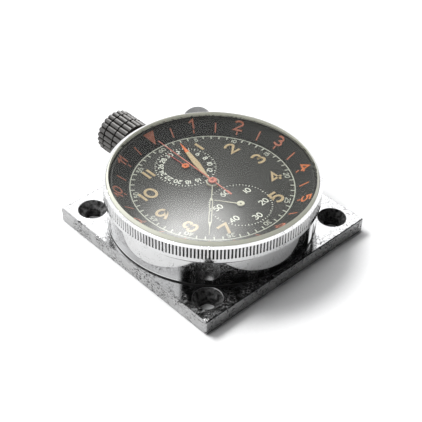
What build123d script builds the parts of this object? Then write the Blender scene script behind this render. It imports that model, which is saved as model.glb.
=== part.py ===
from build123d import *
import math
import os

os.makedirs("parts", exist_ok=True)

# A mechanical timer on a square flange, dial up.
# Millimetres. Origin: centre of the flange's rear face. +Z: out of the dial. +Y: twelve o'clock.
# A bearing is an angle in degrees, clockwise of twelve o'clock as the dial is read.
# A pair named *_Z is the lowest and highest level of a piece.

# ------------------------------------------------------------------ common clearances and allowances
SLIDE_GAP = 0.05
RUNNING_GAP = 0.06
FACE_GAP = 0.1
CUT_MARGIN = 1.0
JOIN_OVERLAP = 0.1

# ------------------------------------------------------------------ case, flange and bezel
PLATE_SIDE = 60.6
PLATE_THICKNESS = 4.5
PLATE_CORNER_RADIUS = 0.4
PLATE_EDGE_BREAK = 0.2
PLATE_OPENING_RADIUS = 26.6
FIXING_SPACING = 48.0
FIXING_RADIUS = 2.3
FIXING_SINK_RADIUS = 4.15

CASE_SCREW_COUNT = 4
CASE_SCREW_CIRCLE = 27.85
CASE_SCREW_RADIUS = 0.65
CASE_SCREW_HEAD_RADIUS = 1.15
CASE_SCREW_HEAD_DEPTH = 1.2
CASE_SCREW_TOP = 8.2
SLOT_LENGTH = 2.5
SLOT_WIDTH = 0.3
SLOT_DEPTH = 0.4
SLOT_TURN_STEP = 50

SPIGOT_RADIUS = 26.55
SPIGOT_BOTTOM = 0.3
FOOT_RADIUS = 29.55
FOOT_TOP = 5.1
FOOT_EDGE_BREAK = 0.12
BAND_RADIUS = 28.7
BAND_TOP = 13.4
NECK_RADIUS = 27.85
NECK_TOP = 16.2
NECK_CONE = (24.6, 14.95, 26.4)
CAVITY_RADIUS = 24.6
BACK_SEAT_RADIUS = 25.6
BACK_SEAT_TOP = 2.0
BACK_Z = (0.3, 1.6)
BACK_EDGE_BREAK = 0.25
BACK_NOTCH_COUNT = 6
BACK_NOTCH_CIRCLE = 22.0
BACK_NOTCH_RADIUS = 1.3
BACK_NOTCH_DEPTH = 0.6
WIRE_HEIGHT = 15.0
WIRE_CIRCLE = 28.0
WIRE_RADIUS = 0.26
WIRE_GROOVE_HALF_HEIGHT = 0.4
WIRE_GROOVE_DEPTH = 0.45
WIRE_ARC = 335

BEZEL_RADIUS = 30.4
BEZEL_BORE = 28.05
BEZEL_BOTTOM = 13.53
KNURL_Z = (14.85, 18.12)
KNURL_TEETH = 198
KNURL_DEPTH = 0.42
KNURL_LAND = (0.28, 0.72)
BEZEL_LIP_TOP = 18.25
BEZEL_CROWN = (29.42, 18.42)
BEZEL_LEDGE = 17.95
BEZEL_BREAK = 0.15
PRY_BEARING = 224
PRY_WIDTH = 1.5
PRY_DEPTH = 0.7
PRY_HEIGHT = 0.8

RING_INNER = (23.4, 14.91)
RING_OUTER = (27.75, 17.88)
RING_THICKNESS = 0.42
RING_FOOT = 1.0

CRYSTAL_RADIUS = 29.3
CRYSTAL_BEVEL_BOTTOM = 18.55
CRYSTAL_BEVEL_TOP = (28.65, 19.45)
CRYSTAL_TOP = 20.6
CRYSTAL_HOLLOW = (27.4, 17.95)
CRYSTAL_HOLLOW_TOP = 19.1

# ------------------------------------------------------------------ dial
DIAL_Z = (14.33, 14.73)
DIAL_RADIUS = 24.4
DIAL_BORE = 1.6
SUBDIAL_OFFSET = 11.2
SUBDIAL_RADIUS = 8.95
SUBDIAL_SINK = 0.1
SUBDIAL_BORE = 0.6

# ------------------------------------------------------------------ crown and push-button
STEM_HEIGHT = 10.2
CROWN_RADIUS = 6.7
CROWN_START = 33.2
CROWN_ROW = 3.83
CROWN_ROWS = 3
CROWN_RIBS = 24
CROWN_RIB_RADIUS = 0.82
CROWN_CORE_RADIUS = 6.15
CROWN_NECK_RADIUS = 5.85
CROWN_END_BREAK = 1.1
CROWN_CAVITY = (3.2, 37.2)
CROWN_NECK_GAP = 0.46
CROWN_TUBE = (1.9, 24.0, 35.5)
TUBE_FLANGE = (2.6, 28.7, 29.5)
STEM_BEARING_RADIUS = 1.2
STEM_MIDDLE_RADIUS = 0.9
STEM_SQUARE = 1.0
STEM_SQUARE_GAP = 0.05
STEM_STEPS = (12.4, 17.0, 24.0, 40.5)
STEM_GROOVE = (0.55, 18.5, 19.3)
SEAL_RADII = (1.95, 3.2)
SEAL_REACH = (33.8, 34.6)

PUSHER_BEARING = 36
PUSHER_HEAD = (4.5, 32.5, 39.6)
PUSHER_DOME = 1.6
PUSHER_CAVITY = (2.6, 35.6)
PUSHER_STEM_RADIUS = 1.0
PUSHER_STEM_TIP = 23.4
PUSHER_TUBE = (1.8, 24.0, 31.0)
PUSHER_SPRING = (1.6, 0.36, 0.9)

# ------------------------------------------------------------------ movement frame
MOVEMENT_RADIUS = 21.4
MOVEMENT_RIM = 20.2
PLATE_Z = (11.0, 13.0)
BRIDGE_Z = (6.0, 6.9)
RING_Z = (2.1, 14.33)
RING_RADII = (21.45, 24.5)
LUG_SLOT_WIDTH = 9.0
LUG_SLOT_REACH = 23.75
LUG_SLOT_TOP = 12.4
STEM_PORT_RADIUS = 2.0
PILLAR_RADIUS = 1.2
PILLAR_PAD = 2.0
BARREL_PAD = 4.0
COLUMN_PAD = 2.5
CENTRE_PAD = 2.4
BALANCE_PAD = 1.7
COCK_PAD = 1.35
SCREW_RADIUS = 0.5
SCREW_HEAD_RADIUS = 0.95
SCREW_HEAD_HEIGHT = 0.55
SCREW_TOP = 12.5
JEWEL_RADIUS = 0.7
JEWEL_THICKNESS = 0.5
PIVOT_RADIUS = 0.12
PIVOT_LENGTH = 0.4
PIVOT_GAP = 0.05
ARBOR_Z = (6.95, 10.95)
ARBOR_RADIUS = 0.3
POST_RADIUS = 0.6

CENTRE = (0.0, 0.0)
SECONDS_CENTRE = (0.0, -SUBDIAL_OFFSET)
COUNTER_CENTRE = (0.0, SUBDIAL_OFFSET)
BARREL_CENTRE = (-10.2, 3.55)
ESCAPE_CENTRE = (-5.5, -14.0)
PALLET_CENTRE = (-8.84, -12.41)
BALANCE_CENTRE = (-11.8, -11.0)
CROWN_WHEEL_CENTRE = (0.0, 16.0)
COLUMN_CENTRE = (9.5, 12.0)
BARREL_PILLARS = ((-14.5, 14.0), (-19.6, -3.0), (7.5, 18.4))
TRAIN_PILLARS = ((9.5, 4.5), (15.5, -12.2), (-2.0, -19.4))
COCK_PILLAR = (-8.0, -18.2)
PALLET_COCK_FOOT = (-11.2, -15.6)
PALLET_COCK_Z = (9.0, 9.3)
PALLET_COCK_RADII = (0.8, 1.0)

# ------------------------------------------------------------------ going train
ADDENDUM = 0.9
DEDENDUM = 1.25
ROOT_SHARE = 0.27
TIP_SHARE = 0.1
BARREL_TEETH, CENTRE_PINION_TEETH, BARREL_MODULE = 65, 10, 0.288
CENTRE_TEETH, THIRD_PINION_TEETH, CENTRE_MODULE = 64, 8, 0.25
THIRD_TEETH, FOURTH_PINION_TEETH, THIRD_MODULE = 60, 8, 0.2375
FOURTH_TEETH, ESCAPE_PINION_TEETH = 60, 6
ESCAPE_TEETH = 15
ESCAPE_TOOTH = ((0, 2.45), (0.32, 3.0), (0.42, 3.0), (0.36, 2.45))
ESCAPE_RIM = 0.45
ESCAPE_SPOKE = 0.35
BARREL_Z = (7.9, 10.0)
BARREL_TEETH_Z = (9.0, 9.7)
BARREL_DRUM_RADIUS = 9.0
BARREL_WALL = 0.5
BARREL_FLOOR = 0.3
BARREL_ARBOR_RADIUS = 1.5
BARREL_CORE_RADIUS = 2.0
BARREL_PIVOT_RADIUS = 0.8
BARREL_PIVOT_TOP = 11.8
MAINSPRING = (2.5, 8.2, 9, 0.22)
CENTRE_PINION_Z = (8.8, 9.9)
CENTRE_WHEEL_Z = (10.2, 10.6)
CENTRE_ARBOR_RADIUS = 0.5
CENTRE_ARBOR_BORE = 0.27
CENTRE_ARBOR_Z = (6.2, 15.2)
THIRD_PINION_Z = (10.05, 10.75)
THIRD_WHEEL_Z = (8.0, 8.4)
FOURTH_PINION_Z = (7.85, 8.6)
FOURTH_WHEEL_Z = (7.2, 7.55)
FOURTH_ARBOR_Z = (4.3, 15.0)
FOURTH_ARBOR_RADIUS = 0.25
ESCAPE_PINION_Z = (7.1, 7.7)
ESCAPE_WHEEL_Z = (9.6, 9.9)
WHEEL_RIM = 0.9
WHEEL_HUB = 1.3
SPOKE_WIDTH = 0.7

# ------------------------------------------------------------------ escapement and balance
PALLET_Z = (9.5, 9.85)
PALLET_REACH = 3.35
PALLET_SPREAD = 38
PALLET_ARM_WIDTH = 0.55
PALLET_HUB_RADIUS = 0.6
FORK_LENGTH = 1.75
FORK_HEAD = (0.6, 1.1)
FORK_SLOT = (0.6, 0.45)
FORK_SLOT_OFFSET = 0.2
BALANCE_Z = (8.15, 8.75)
BALANCE_RADII = (4.2, 4.75)
BALANCE_ARM_WIDTH = 0.8
BALANCE_SCREWS = 12
BALANCE_SCREW = (0.24, 0.35)
ROLLER = (1.0, 9.5, 9.75)
ROLLER_PIN = (0.16, 0.75, 9.95)
HAIRSPRING = (0.85, 2.7, 8, 0.06)
HAIRSPRING_Z = (7.5, 7.7)
COLLET_RADIUS = 0.9
STUD_BEARING = 20
STUD_OFFSET = 0.45
STUD_RADII = (0.3, 0.5)

# ------------------------------------------------------------------ motion works and hands
CANNON_TEETH, MINUTE_WHEEL_TEETH, MOTION_MODULE = 12, 36, 0.17
MINUTE_PINION_TEETH, HOUR_WHEEL_TEETH = 10, 40
MINUTE_WHEEL_BEARING = 235
CANNON_RADIUS = 0.85
CANNON_Z = (13.1, 16.0)
CANNON_TEETH_Z = (13.15, 13.5)
HOUR_PIPE_RADII = (0.93, 1.3)
HOUR_TEETH_Z = (13.62, 13.95)
HOUR_PIPE_TOP = 15.6
MINUTE_POST_RADIUS = 0.35
HOUR_HAND_Z = (15.4, 15.6)
MINUTE_HAND_Z = (15.84, 16.0)
CHRONO_HAND_Z = (16.3, 16.45)
SMALL_HAND_Z = (14.9, 15.0)
# A blade is given as half-width and length pairs; a bearing is where the hand points.
HOUR_BEARING = 15.7
HOUR_BLADE = ((0.3, 1.5), (0.35, 3.6), (0.9, 9.5), (0.6, 15.7), (0, 20.5))
HOUR_HUB_WALL = 0.45
MINUTE_BEARING = 225.5
MINUTE_BLADE = ((0.14, 1.2), (0.14, 7.2), (0.46, 7.9), (0.46, 17.2), (0.12, 19.0), (0.06, 22.3))
MINUTE_WINDOW = ((0.24, 8.2), (0.24, 17.0))
MINUTE_CROSSBAR = ((0.36, 12.1), (0.36, 12.35))
MINUTE_HUB_WALL = 1.0
CHRONO_BEARING = 2.0
CHRONO_BLADE = ((0.15, -5.6), (0.18, 0), (0.15, 9), (0.09, 23.9))
CHRONO_TAIL = ((0.15, -5.6), (0.34, -6.2), (0.24, -7.8))
CHRONO_HUB = (1.25, 16.24, 16.65)
CHRONO_HUB_SINK = 0.5
CHRONO_HUB_BREAK = 0.1
SECONDS_BEARING = 324
SECONDS_BLADE = ((0.16, 0.6), (0.07, 7.4))
COUNTER_BEARING = 0
COUNTER_BLADE = ((0.15, 0.6), (0.16, 5.0), (0.07, 7.6))
SMALL_HUB = (1.05, 0.4, 15.15)

# ------------------------------------------------------------------ winding work
WINDING_Z = (7.0, 7.6)
WINDING_MODULE = 0.3
CROWN_WHEEL_TEETH, IDLER_TEETH, RATCHET_TEETH = 24, 20, 46
CONTRATE_TEETH = 16
CONTRATE_RADII = (2.4, 3.4)
CONTRATE_WIDTH = 0.42
CONTRATE_TOP = 8.25
WINDING_PINION_TEETH = 12
WINDING_PINION_MODULE = 0.3667
WINDING_PINION_REACH = (12.6, 13.6, 15.0)
WINDING_SLEEVE_RADIUS = 1.2
WINDING_POST_RADIUS = 1.0
WINDING_POST_TOP = 7.95
PINION_POCKET = (5.8, 12.2, 13.95)
STEM_SLOT_WIDTH = 2.9
STEM_SLOT_TOP = 11.9
CLICK_PIVOT_ANGLE, CLICK_TIP_ANGLE = 149, 166
CLICK_PIVOT_REACH, CLICK_TIP_REACH = 9.0, 7.65
CLICK_PIVOT_RADIUS, CLICK_TIP_RADIUS = 0.95, 0.3
SETTING_PIVOT = (4.2, 18.2)
SETTING_PIN = (0.0, 18.9)
SETTING_LEVER_Z = (8.75, 9.15)
SETTING_LEVER_RADII = (1.0, 0.5)
SETTING_PIN_RADIUS = 0.3
SETTING_PIN_TOP = 9.5

# ------------------------------------------------------------------ chronograph work
CHRONO_TEETH, COUPLING_TEETH, CHRONO_MODULE = 60, 35, 0.15
CHRONO_WHEEL_Z = (4.6, 4.85)
RECORDER_TEETH, INTERMEDIATE_TEETH, RECORDER_MODULE = 30, 22, 0.1733
RECORDER_Z = (5.1, 5.35)
HEART_Z = (3.9, 4.3)
HEART_RADII = (0.7, 1.5)
CHRONO_HUB_RADIUS = 0.6
CHRONO_ARBOR_RADIUS = 0.2
CHRONO_ARBOR_Z = (3.05, 16.45)
RECORDER_ARBOR_Z = (3.05, 15.0)
FINGER_LENGTH = 6.0
FINGER_TIP_RADIUS = 0.15
FINGER_BEARING = 145
INTERMEDIATE_REACH = 8.4
DISENGAGED_GAP = 0.5
CHRONO_BRIDGE_Z = (2.3, 3.0)
CHRONO_BRIDGE_PADS = (1.6, 1.5)
CHRONO_PILLARS = ((-7.3, 4.5), (-5.0, 14.5))
COUPLING_LEVER_Z = (3.5, 3.9)
COUPLING_PIVOT_REACH = 5.6
COUPLING_POST = (0.25, 5.2)
COUPLING_HUB_WALL = 0.35
COUPLING_END_RADIUS = 0.8
LEVER_HUB_RADIUS = 1.15
COLUMN_RATCHET_Z = (5.0, 5.4)
COLUMN_TEETH = 12
COLUMN_TOOTH = ((0, 1.85), (0.9, 2.25))
COLUMN_COUNT = 6
COLUMN = (0.36, 1.35, 3.9)
OPERATING_LEVER_Z = (3.2, 3.6)
OPERATING_PIVOT = (4.6, 17.0)
OPERATING_PAWL = (8.0, 15.1, 0.35)
LUG_REACH = 22.5
LUG_RADIUS = 0.7
LUG_TOP = 10.9
HAMMER_PIVOT = (3.6, 15.2)
HAMMER_Z = (3.85, 4.35)
HAMMER_HUB_RADIUS = 1.1
HAMMER_OUTLINE = (
    (2.5, -1.3),
    (2.5, 9.0),
    (1.9, 9.8),
    (1.9, 12.4),
    (2.8, 15.2),
    (4.4, 15.2),
    (3.6, 9.0),
    (3.4, -1.3),
)

BASE = (Align.CENTER, Align.CENTER, Align.MIN)


# ------------------------------------------------------------------ geometry helpers
def toward(bearing, reach, centre=CENTRE):
    """The point at a bearing and distance from a centre."""
    angle = math.radians(bearing)
    return (centre[0] + reach * math.sin(angle), centre[1] + reach * math.cos(angle))


def polar(angle, reach, centre=CENTRE):
    """The point at a counter-clockwise angle from +X and a distance from a centre."""
    angle = math.radians(angle)
    return (centre[0] + reach * math.cos(angle), centre[1] + reach * math.sin(angle))


def meeting(first, first_reach, second, second_reach, side):
    """The point at given distances from two centres, left (1) or right (-1) of the line between."""
    apart = math.dist(first, second)
    along = (first_reach**2 - second_reach**2 + apart**2) / (2 * apart)
    across = side * math.sqrt(first_reach**2 - along**2)
    ux, uy = (second[0] - first[0]) / apart, (second[1] - first[1]) / apart
    return (first[0] + along * ux - across * uy, first[1] + along * uy + across * ux)


def angle_between(start, end):
    """The counter-clockwise angle from +X of the line from start to end, in degrees."""
    return math.degrees(math.atan2(end[1] - start[1], end[0] - start[0]))


def disc(radius, levels, centre=CENTRE, mode=Mode.ADD):
    """A round plate, post or hole between two levels of the piece being made."""
    with Locations((centre[0], centre[1], levels[0])):
        Cylinder(radius, levels[1] - levels[0], align=BASE, mode=mode)


def hull_plate(circles, levels, within=None):
    """A flat plate around circles, each an x, a y and a radius, cut to a round limit if given."""
    with BuildSketch(Plane.XY.offset(levels[0])) as outline:
        for x, y, radius in circles:
            with Locations((x, y)):
                Circle(radius)
        make_hull()
        if within:
            Circle(within, mode=Mode.INTERSECT)
    extrude(outline.sketch, amount=levels[1] - levels[0])


def turned(profile_points):
    """A solid of revolution from a closed profile of radius and height."""
    with BuildSketch(Plane.XZ) as profile:
        with BuildLine():
            Polyline(*profile_points, close=True)
        make_face()
    revolve(profile.sketch, Axis.Z)


def ring(outer, inner, levels, mode=Mode.ADD):
    """A plain round ring or groove about the dial's axis."""
    with BuildSketch(Plane.XY.offset(levels[0])) as outline:
        Circle(outer)
        Circle(inner, mode=Mode.SUBTRACT)
    extrude(outline.sketch, amount=levels[1] - levels[0], mode=mode)


def radial_plane(bearing, reach):
    """A plane facing out along a bearing, at the stem's height, its own +Y pointing down."""
    angle = math.radians(bearing)
    x, y = toward(bearing, reach)
    across = (math.cos(angle), -math.sin(angle), 0)
    outward = (math.sin(angle), math.cos(angle), 0)
    return Plane(origin=(x, y, STEM_HEIGHT), x_dir=across, z_dir=outward)


def rod(radius, start, end, bearing=0, mode=Mode.ADD):
    """A round bar or hole along a bearing at the stem's height."""
    with BuildSketch(radial_plane(bearing, start)) as section:
        Circle(radius)
    extrude(section.sketch, amount=end - start, mode=mode)


def gear_points(teeth, module, first_tooth=0.0, centre=CENTRE):
    """The corners of a toothed rim whose first tooth points at a counter-clockwise angle."""
    pitch_radius = module * teeth / 2
    root = pitch_radius - DEDENDUM * module
    tip = pitch_radius + ADDENDUM * module
    corners = ((root, -ROOT_SHARE), (tip, -TIP_SHARE), (tip, TIP_SHARE), (root, ROOT_SHARE))
    step = 360 / teeth
    return [
        polar(first_tooth + (tooth + share) * step, radius, centre)
        for tooth in range(teeth)
        for radius, share in corners
    ]


def wheel(teeth, module, levels, centre, first_tooth, spokes=0, bore=0):
    """A toothed wheel, with crossed-out windows where it has pairs of spokes."""
    with BuildSketch(Plane.XY.offset(levels[0])) as blank:
        with BuildLine():
            Polyline(*gear_points(teeth, module, first_tooth, centre), close=True)
        make_face()
        rim_radius = module * teeth / 2 - DEDENDUM * module - WHEEL_RIM
        if spokes:
            with Locations(centre):
                Circle(rim_radius, mode=Mode.SUBTRACT)
                Circle(WHEEL_HUB)
            for arm in range(spokes):
                with Locations(Location((*centre, 0), (0, 0, arm * 180 / spokes))):
                    Rectangle(2 * rim_radius, SPOKE_WIDTH)
        if bore:
            with Locations(centre):
                Circle(bore, mode=Mode.SUBTRACT)
    extrude(blank.sketch, amount=levels[1] - levels[0])


def pivoted_arbor(centre, radius, levels):
    """A steel arbor with a fine pivot at each end."""
    disc(radius, levels, centre)
    disc(PIVOT_RADIUS, (levels[0] - PIVOT_LENGTH, levels[0]), centre)
    disc(PIVOT_RADIUS, (levels[1], levels[1] + PIVOT_LENGTH), centre)


def meshed_tooth(teeth, toward_angle):
    """The first-tooth angle that puts a gap between teeth at the given angle."""
    return toward_angle + 180 / teeth


def spiral_strip(inner, outer, turns, thickness, levels, centre):
    """A flat spring wound from an inner to an outer radius, counter-clockwise."""
    points_per_turn = 12
    count = turns * points_per_turn

    def edge(offset):
        return [
            polar(360 * i / points_per_turn, inner + (outer - inner) * i / count + offset, centre)
            for i in range(count + 1)
        ]

    inside, outside = edge(-thickness / 2), edge(thickness / 2)
    with BuildSketch(Plane.XY.offset(levels[0])) as strip:
        with BuildLine():
            Spline(*inside)
            Line(inside[-1], outside[-1])
            Spline(*outside)
            Line(outside[0], inside[0])
        make_face()
    extrude(strip.sketch, amount=levels[1] - levels[0])


def hand_plane(bearing, level, centre=CENTRE):
    """A plane on which a hand is drawn pointing along its own +Y."""
    angle = math.radians(bearing)
    across = (math.cos(angle), -math.sin(angle), 0)
    return Plane(origin=(*centre, level), x_dir=across, z_dir=(0, 0, 1))


def hand_blade(bearing, levels, half_outline, centre=CENTRE, window=None):
    """A flat symmetric hand from half-width and length pairs, with an optional window."""
    right = list(half_outline)
    left = [(-width, length) for width, length in reversed(half_outline) if width > 0]
    with BuildSketch(hand_plane(bearing, levels[0], centre)) as blade:
        with BuildLine():
            Polyline(*right, *left, close=True)
        make_face()
        if window:
            with BuildLine():
                Polyline(*window, *[(-x, y) for x, y in reversed(window)], close=True)
            make_face(mode=Mode.SUBTRACT)
    extrude(blade.sketch, amount=levels[1] - levels[0])


def small_hub(centre):
    """The hub of a sub-dial hand, bored for its arbor and sunk at the top."""
    radius, sink_radius, top = SMALL_HUB
    disc(radius, (SMALL_HAND_Z[0], top), centre)
    disc(sink_radius, (SMALL_HAND_Z[1], top), centre, Mode.SUBTRACT)
    disc(FOURTH_ARBOR_RADIUS, SMALL_HAND_Z, centre, Mode.SUBTRACT)


def screw_slot(centre, bottom, rotation):
    """A driver's slot cut upward from a level into the underside of a screw head."""
    with Locations(Location((*centre, bottom), (0, 0, rotation))):
        Box(SLOT_LENGTH, SLOT_WIDTH, SLOT_DEPTH, align=BASE, mode=Mode.SUBTRACT)


THIRD_CENTRE = meeting(
    CENTRE,
    CENTRE_MODULE * (CENTRE_TEETH + THIRD_PINION_TEETH) / 2,
    SECONDS_CENTRE,
    THIRD_MODULE * (THIRD_TEETH + FOURTH_PINION_TEETH) / 2,
    1,
)
ESCAPE_REACH = math.dist(SECONDS_CENTRE, ESCAPE_CENTRE)
FOURTH_MODULE = 2 * ESCAPE_REACH / (FOURTH_TEETH + ESCAPE_PINION_TEETH)
IDLER_CENTRE = meeting(
    CROWN_WHEEL_CENTRE,
    WINDING_MODULE * (CROWN_WHEEL_TEETH + IDLER_TEETH) / 2,
    BARREL_CENTRE,
    WINDING_MODULE * (IDLER_TEETH + RATCHET_TEETH) / 2,
    -1,
)
COUPLING_REACH = CHRONO_MODULE * (CHRONO_TEETH + COUPLING_TEETH) / 2
COUPLING_CENTRE = meeting(
    CENTRE, COUPLING_REACH + DISENGAGED_GAP, SECONDS_CENTRE, COUPLING_REACH, 1
)
COUPLING_PIVOT = polar(
    angle_between(COUPLING_CENTRE, SECONDS_CENTRE), COUPLING_PIVOT_REACH, SECONDS_CENTRE
)
INTERMEDIATE_CENTRE = meeting(
    CENTRE,
    INTERMEDIATE_REACH,
    COUNTER_CENTRE,
    RECORDER_MODULE * (RECORDER_TEETH + INTERMEDIATE_TEETH) / 2,
    1,
)
MOTION_REACH = MOTION_MODULE * (CANNON_TEETH + MINUTE_WHEEL_TEETH) / 2
MINUTE_WHEEL_CENTRE = toward(MINUTE_WHEEL_BEARING, MOTION_REACH)
HOUR_MODULE = 2 * MOTION_REACH / (MINUTE_PINION_TEETH + HOUR_WHEEL_TEETH)
LUG_CENTRE = toward(PUSHER_BEARING, LUG_REACH)
CLICK_PIVOT = polar(CLICK_PIVOT_ANGLE, CLICK_PIVOT_REACH, BARREL_CENTRE)
STUD_CENTRE = polar(STUD_BEARING, HAIRSPRING[1] + STUD_OFFSET, BALANCE_CENTRE)

# ------------------------------------------------------------------ flange and case
with BuildPart() as flange_plate:
    with BuildSketch(Plane.XY) as outline:
        RectangleRounded(PLATE_SIDE, PLATE_SIDE, PLATE_CORNER_RADIUS)
    extrude(amount=PLATE_THICKNESS)
    chamfer(flange_plate.faces().sort_by(Axis.Z)[-1].outer_wire().edges(), PLATE_EDGE_BREAK)
    chamfer(flange_plate.faces().sort_by(Axis.Z)[0].outer_wire().edges(), PLATE_EDGE_BREAK)
    disc(PLATE_OPENING_RADIUS, (0, PLATE_THICKNESS), mode=Mode.SUBTRACT)
    with Locations((0, 0, PLATE_THICKNESS)):
        with GridLocations(FIXING_SPACING, FIXING_SPACING, 2, 2):
            CounterSinkHole(FIXING_RADIUS, FIXING_SINK_RADIUS, counter_sink_angle=90)
    for screw in range(CASE_SCREW_COUNT):
        spot = toward(screw * 360 / CASE_SCREW_COUNT, CASE_SCREW_CIRCLE)
        disc(CASE_SCREW_RADIUS, (0, PLATE_THICKNESS), spot, Mode.SUBTRACT)
        disc(CASE_SCREW_HEAD_RADIUS, (0, CASE_SCREW_HEAD_DEPTH), spot, Mode.SUBTRACT)
flange_plate.part.label = "flange_plate"
export_step(flange_plate.part, "parts/flange_plate.step")

with BuildPart() as case_screws:
    for screw in range(CASE_SCREW_COUNT):
        bearing = screw * 360 / CASE_SCREW_COUNT
        spot = toward(bearing, CASE_SCREW_CIRCLE)
        disc(CASE_SCREW_RADIUS, (0, CASE_SCREW_TOP), spot)
        disc(CASE_SCREW_HEAD_RADIUS - SLIDE_GAP, (SLIDE_GAP, CASE_SCREW_HEAD_DEPTH), spot)
        screw_slot(spot, 0, SLOT_TURN_STEP + bearing)
case_screws.part.label = "case_screws"
export_step(case_screws.part, "parts/case_screws.step")

with BuildPart() as case_band:
    turned(
        (
            (BACK_SEAT_RADIUS, SPIGOT_BOTTOM),
            (SPIGOT_RADIUS, SPIGOT_BOTTOM),
            (SPIGOT_RADIUS, PLATE_THICKNESS),
            (FOOT_RADIUS, PLATE_THICKNESS),
            (FOOT_RADIUS, FOOT_TOP - FOOT_EDGE_BREAK),
            (FOOT_RADIUS - FOOT_EDGE_BREAK, FOOT_TOP),
            (BAND_RADIUS, FOOT_TOP),
            (BAND_RADIUS, BAND_TOP),
            (NECK_RADIUS, BAND_TOP),
            (NECK_RADIUS, WIRE_HEIGHT - WIRE_GROOVE_HALF_HEIGHT),
            (NECK_RADIUS - WIRE_GROOVE_DEPTH, WIRE_HEIGHT - WIRE_GROOVE_HALF_HEIGHT),
            (NECK_RADIUS - WIRE_GROOVE_DEPTH, WIRE_HEIGHT + WIRE_GROOVE_HALF_HEIGHT),
            (NECK_RADIUS, WIRE_HEIGHT + WIRE_GROOVE_HALF_HEIGHT),
            (NECK_RADIUS, NECK_TOP),
            (NECK_CONE[2], NECK_TOP),
            (NECK_CONE[0], NECK_CONE[1]),
            (CAVITY_RADIUS, BACK_SEAT_TOP),
            (BACK_SEAT_RADIUS, BACK_SEAT_TOP),
        )
    )
    rod(CROWN_TUBE[0], CROWN_TUBE[1] - CUT_MARGIN, FOOT_RADIUS, 0, Mode.SUBTRACT)
    rod(PUSHER_TUBE[0], PUSHER_TUBE[1] - CUT_MARGIN, FOOT_RADIUS, PUSHER_BEARING, Mode.SUBTRACT)
    for screw in range(CASE_SCREW_COUNT):
        spot = toward(screw * 360 / CASE_SCREW_COUNT, CASE_SCREW_CIRCLE)
        disc(CASE_SCREW_RADIUS, (0, CASE_SCREW_TOP), spot, Mode.SUBTRACT)
case_band.part.label = "case_band"
export_step(case_band.part, "parts/case_band.step")

with BuildPart() as case_back:
    disc(BACK_SEAT_RADIUS - SLIDE_GAP, BACK_Z)
    chamfer(case_back.faces().sort_by(Axis.Z)[0].outer_wire().edges(), BACK_EDGE_BREAK)
    with Locations((0, 0, BACK_Z[0])):
        with PolarLocations(BACK_NOTCH_CIRCLE, BACK_NOTCH_COUNT):
            Cylinder(BACK_NOTCH_RADIUS, BACK_NOTCH_DEPTH, align=BASE, mode=Mode.SUBTRACT)
case_back.part.label = "case_back"
export_step(case_back.part, "parts/case_back.step")

with BuildPart() as case_back_gasket:
    ring(BACK_SEAT_RADIUS - SLIDE_GAP, CAVITY_RADIUS + SLIDE_GAP, (BACK_Z[1], BACK_SEAT_TOP))
case_back_gasket.part.label = "case_back_gasket"
export_step(case_back_gasket.part, "parts/case_back_gasket.step")

# ------------------------------------------------------------------ turning bezel
with BuildPart() as bezel:
    ring(BEZEL_RADIUS, BEZEL_BORE, (BEZEL_BOTTOM, KNURL_Z[0]))
    chamfer(bezel.faces().sort_by(Axis.Z)[0].outer_wire().edges(), BEZEL_BREAK)
    with BuildSketch(Plane.XY.offset(KNURL_Z[0])) as knurl:
        tooth_step = 360 / KNURL_TEETH
        with BuildLine():
            Polyline(
                *[
                    polar((tooth + share) * tooth_step, BEZEL_RADIUS - depth)
                    for tooth in range(KNURL_TEETH)
                    for share, depth in ((0, KNURL_DEPTH), (KNURL_LAND[0], 0), (KNURL_LAND[1], 0))
                ],
                close=True,
            )
        make_face()
        Circle(BEZEL_BORE, mode=Mode.SUBTRACT)
    extrude(amount=KNURL_Z[1] - KNURL_Z[0])
    turned(
        (
            (BEZEL_CROWN[0] - JOIN_OVERLAP, KNURL_Z[1]),
            (BEZEL_RADIUS, KNURL_Z[1]),
            (BEZEL_RADIUS, BEZEL_LIP_TOP),
            BEZEL_CROWN,
            (BEZEL_CROWN[0] - JOIN_OVERLAP, BEZEL_CROWN[1]),
        )
    )
    disc(BEZEL_CROWN[0], (BEZEL_LEDGE, BEZEL_CROWN[1]), mode=Mode.SUBTRACT)
    groove_levels = (WIRE_HEIGHT - WIRE_GROOVE_HALF_HEIGHT, WIRE_HEIGHT + WIRE_GROOVE_HALF_HEIGHT)
    disc(BEZEL_BORE + WIRE_GROOVE_DEPTH, groove_levels, mode=Mode.SUBTRACT)
    pry_spot = toward(PRY_BEARING, BEZEL_RADIUS)
    with Locations(Location((*pry_spot, BEZEL_BOTTOM), (0, 0, -PRY_BEARING))):
        Box(PRY_WIDTH, 2 * PRY_DEPTH, PRY_HEIGHT, align=BASE, mode=Mode.SUBTRACT)
bezel.part.label = "bezel"
export_step(bezel.part, "parts/bezel.step")

with BuildPart() as chapter_ring:
    slope = (RING_OUTER[1] - RING_INNER[1]) / (RING_OUTER[0] - RING_INNER[0])
    underside_start = RING_INNER[0] + RING_THICKNESS / slope
    foot_radius = BEZEL_BORE - RING_FOOT
    foot_level = RING_INNER[1] + (foot_radius - underside_start) * slope
    turned(
        (
            RING_INNER,
            (underside_start, RING_INNER[1]),
            (foot_radius, foot_level),
            (BEZEL_BORE, foot_level),
            (BEZEL_BORE, RING_OUTER[1]),
            RING_OUTER,
        )
    )
chapter_ring.part.label = "chapter_ring"
export_step(chapter_ring.part, "parts/chapter_ring.step")


def dome_level(edge, top, reach):
    """The level, at a distance from the axis, of a spherical dome given its edge and its top."""
    rise = top - edge[1]
    sphere_radius = (edge[0] ** 2 + rise**2) / (2 * rise)
    return top - sphere_radius + math.sqrt(sphere_radius**2 - reach**2)


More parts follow.
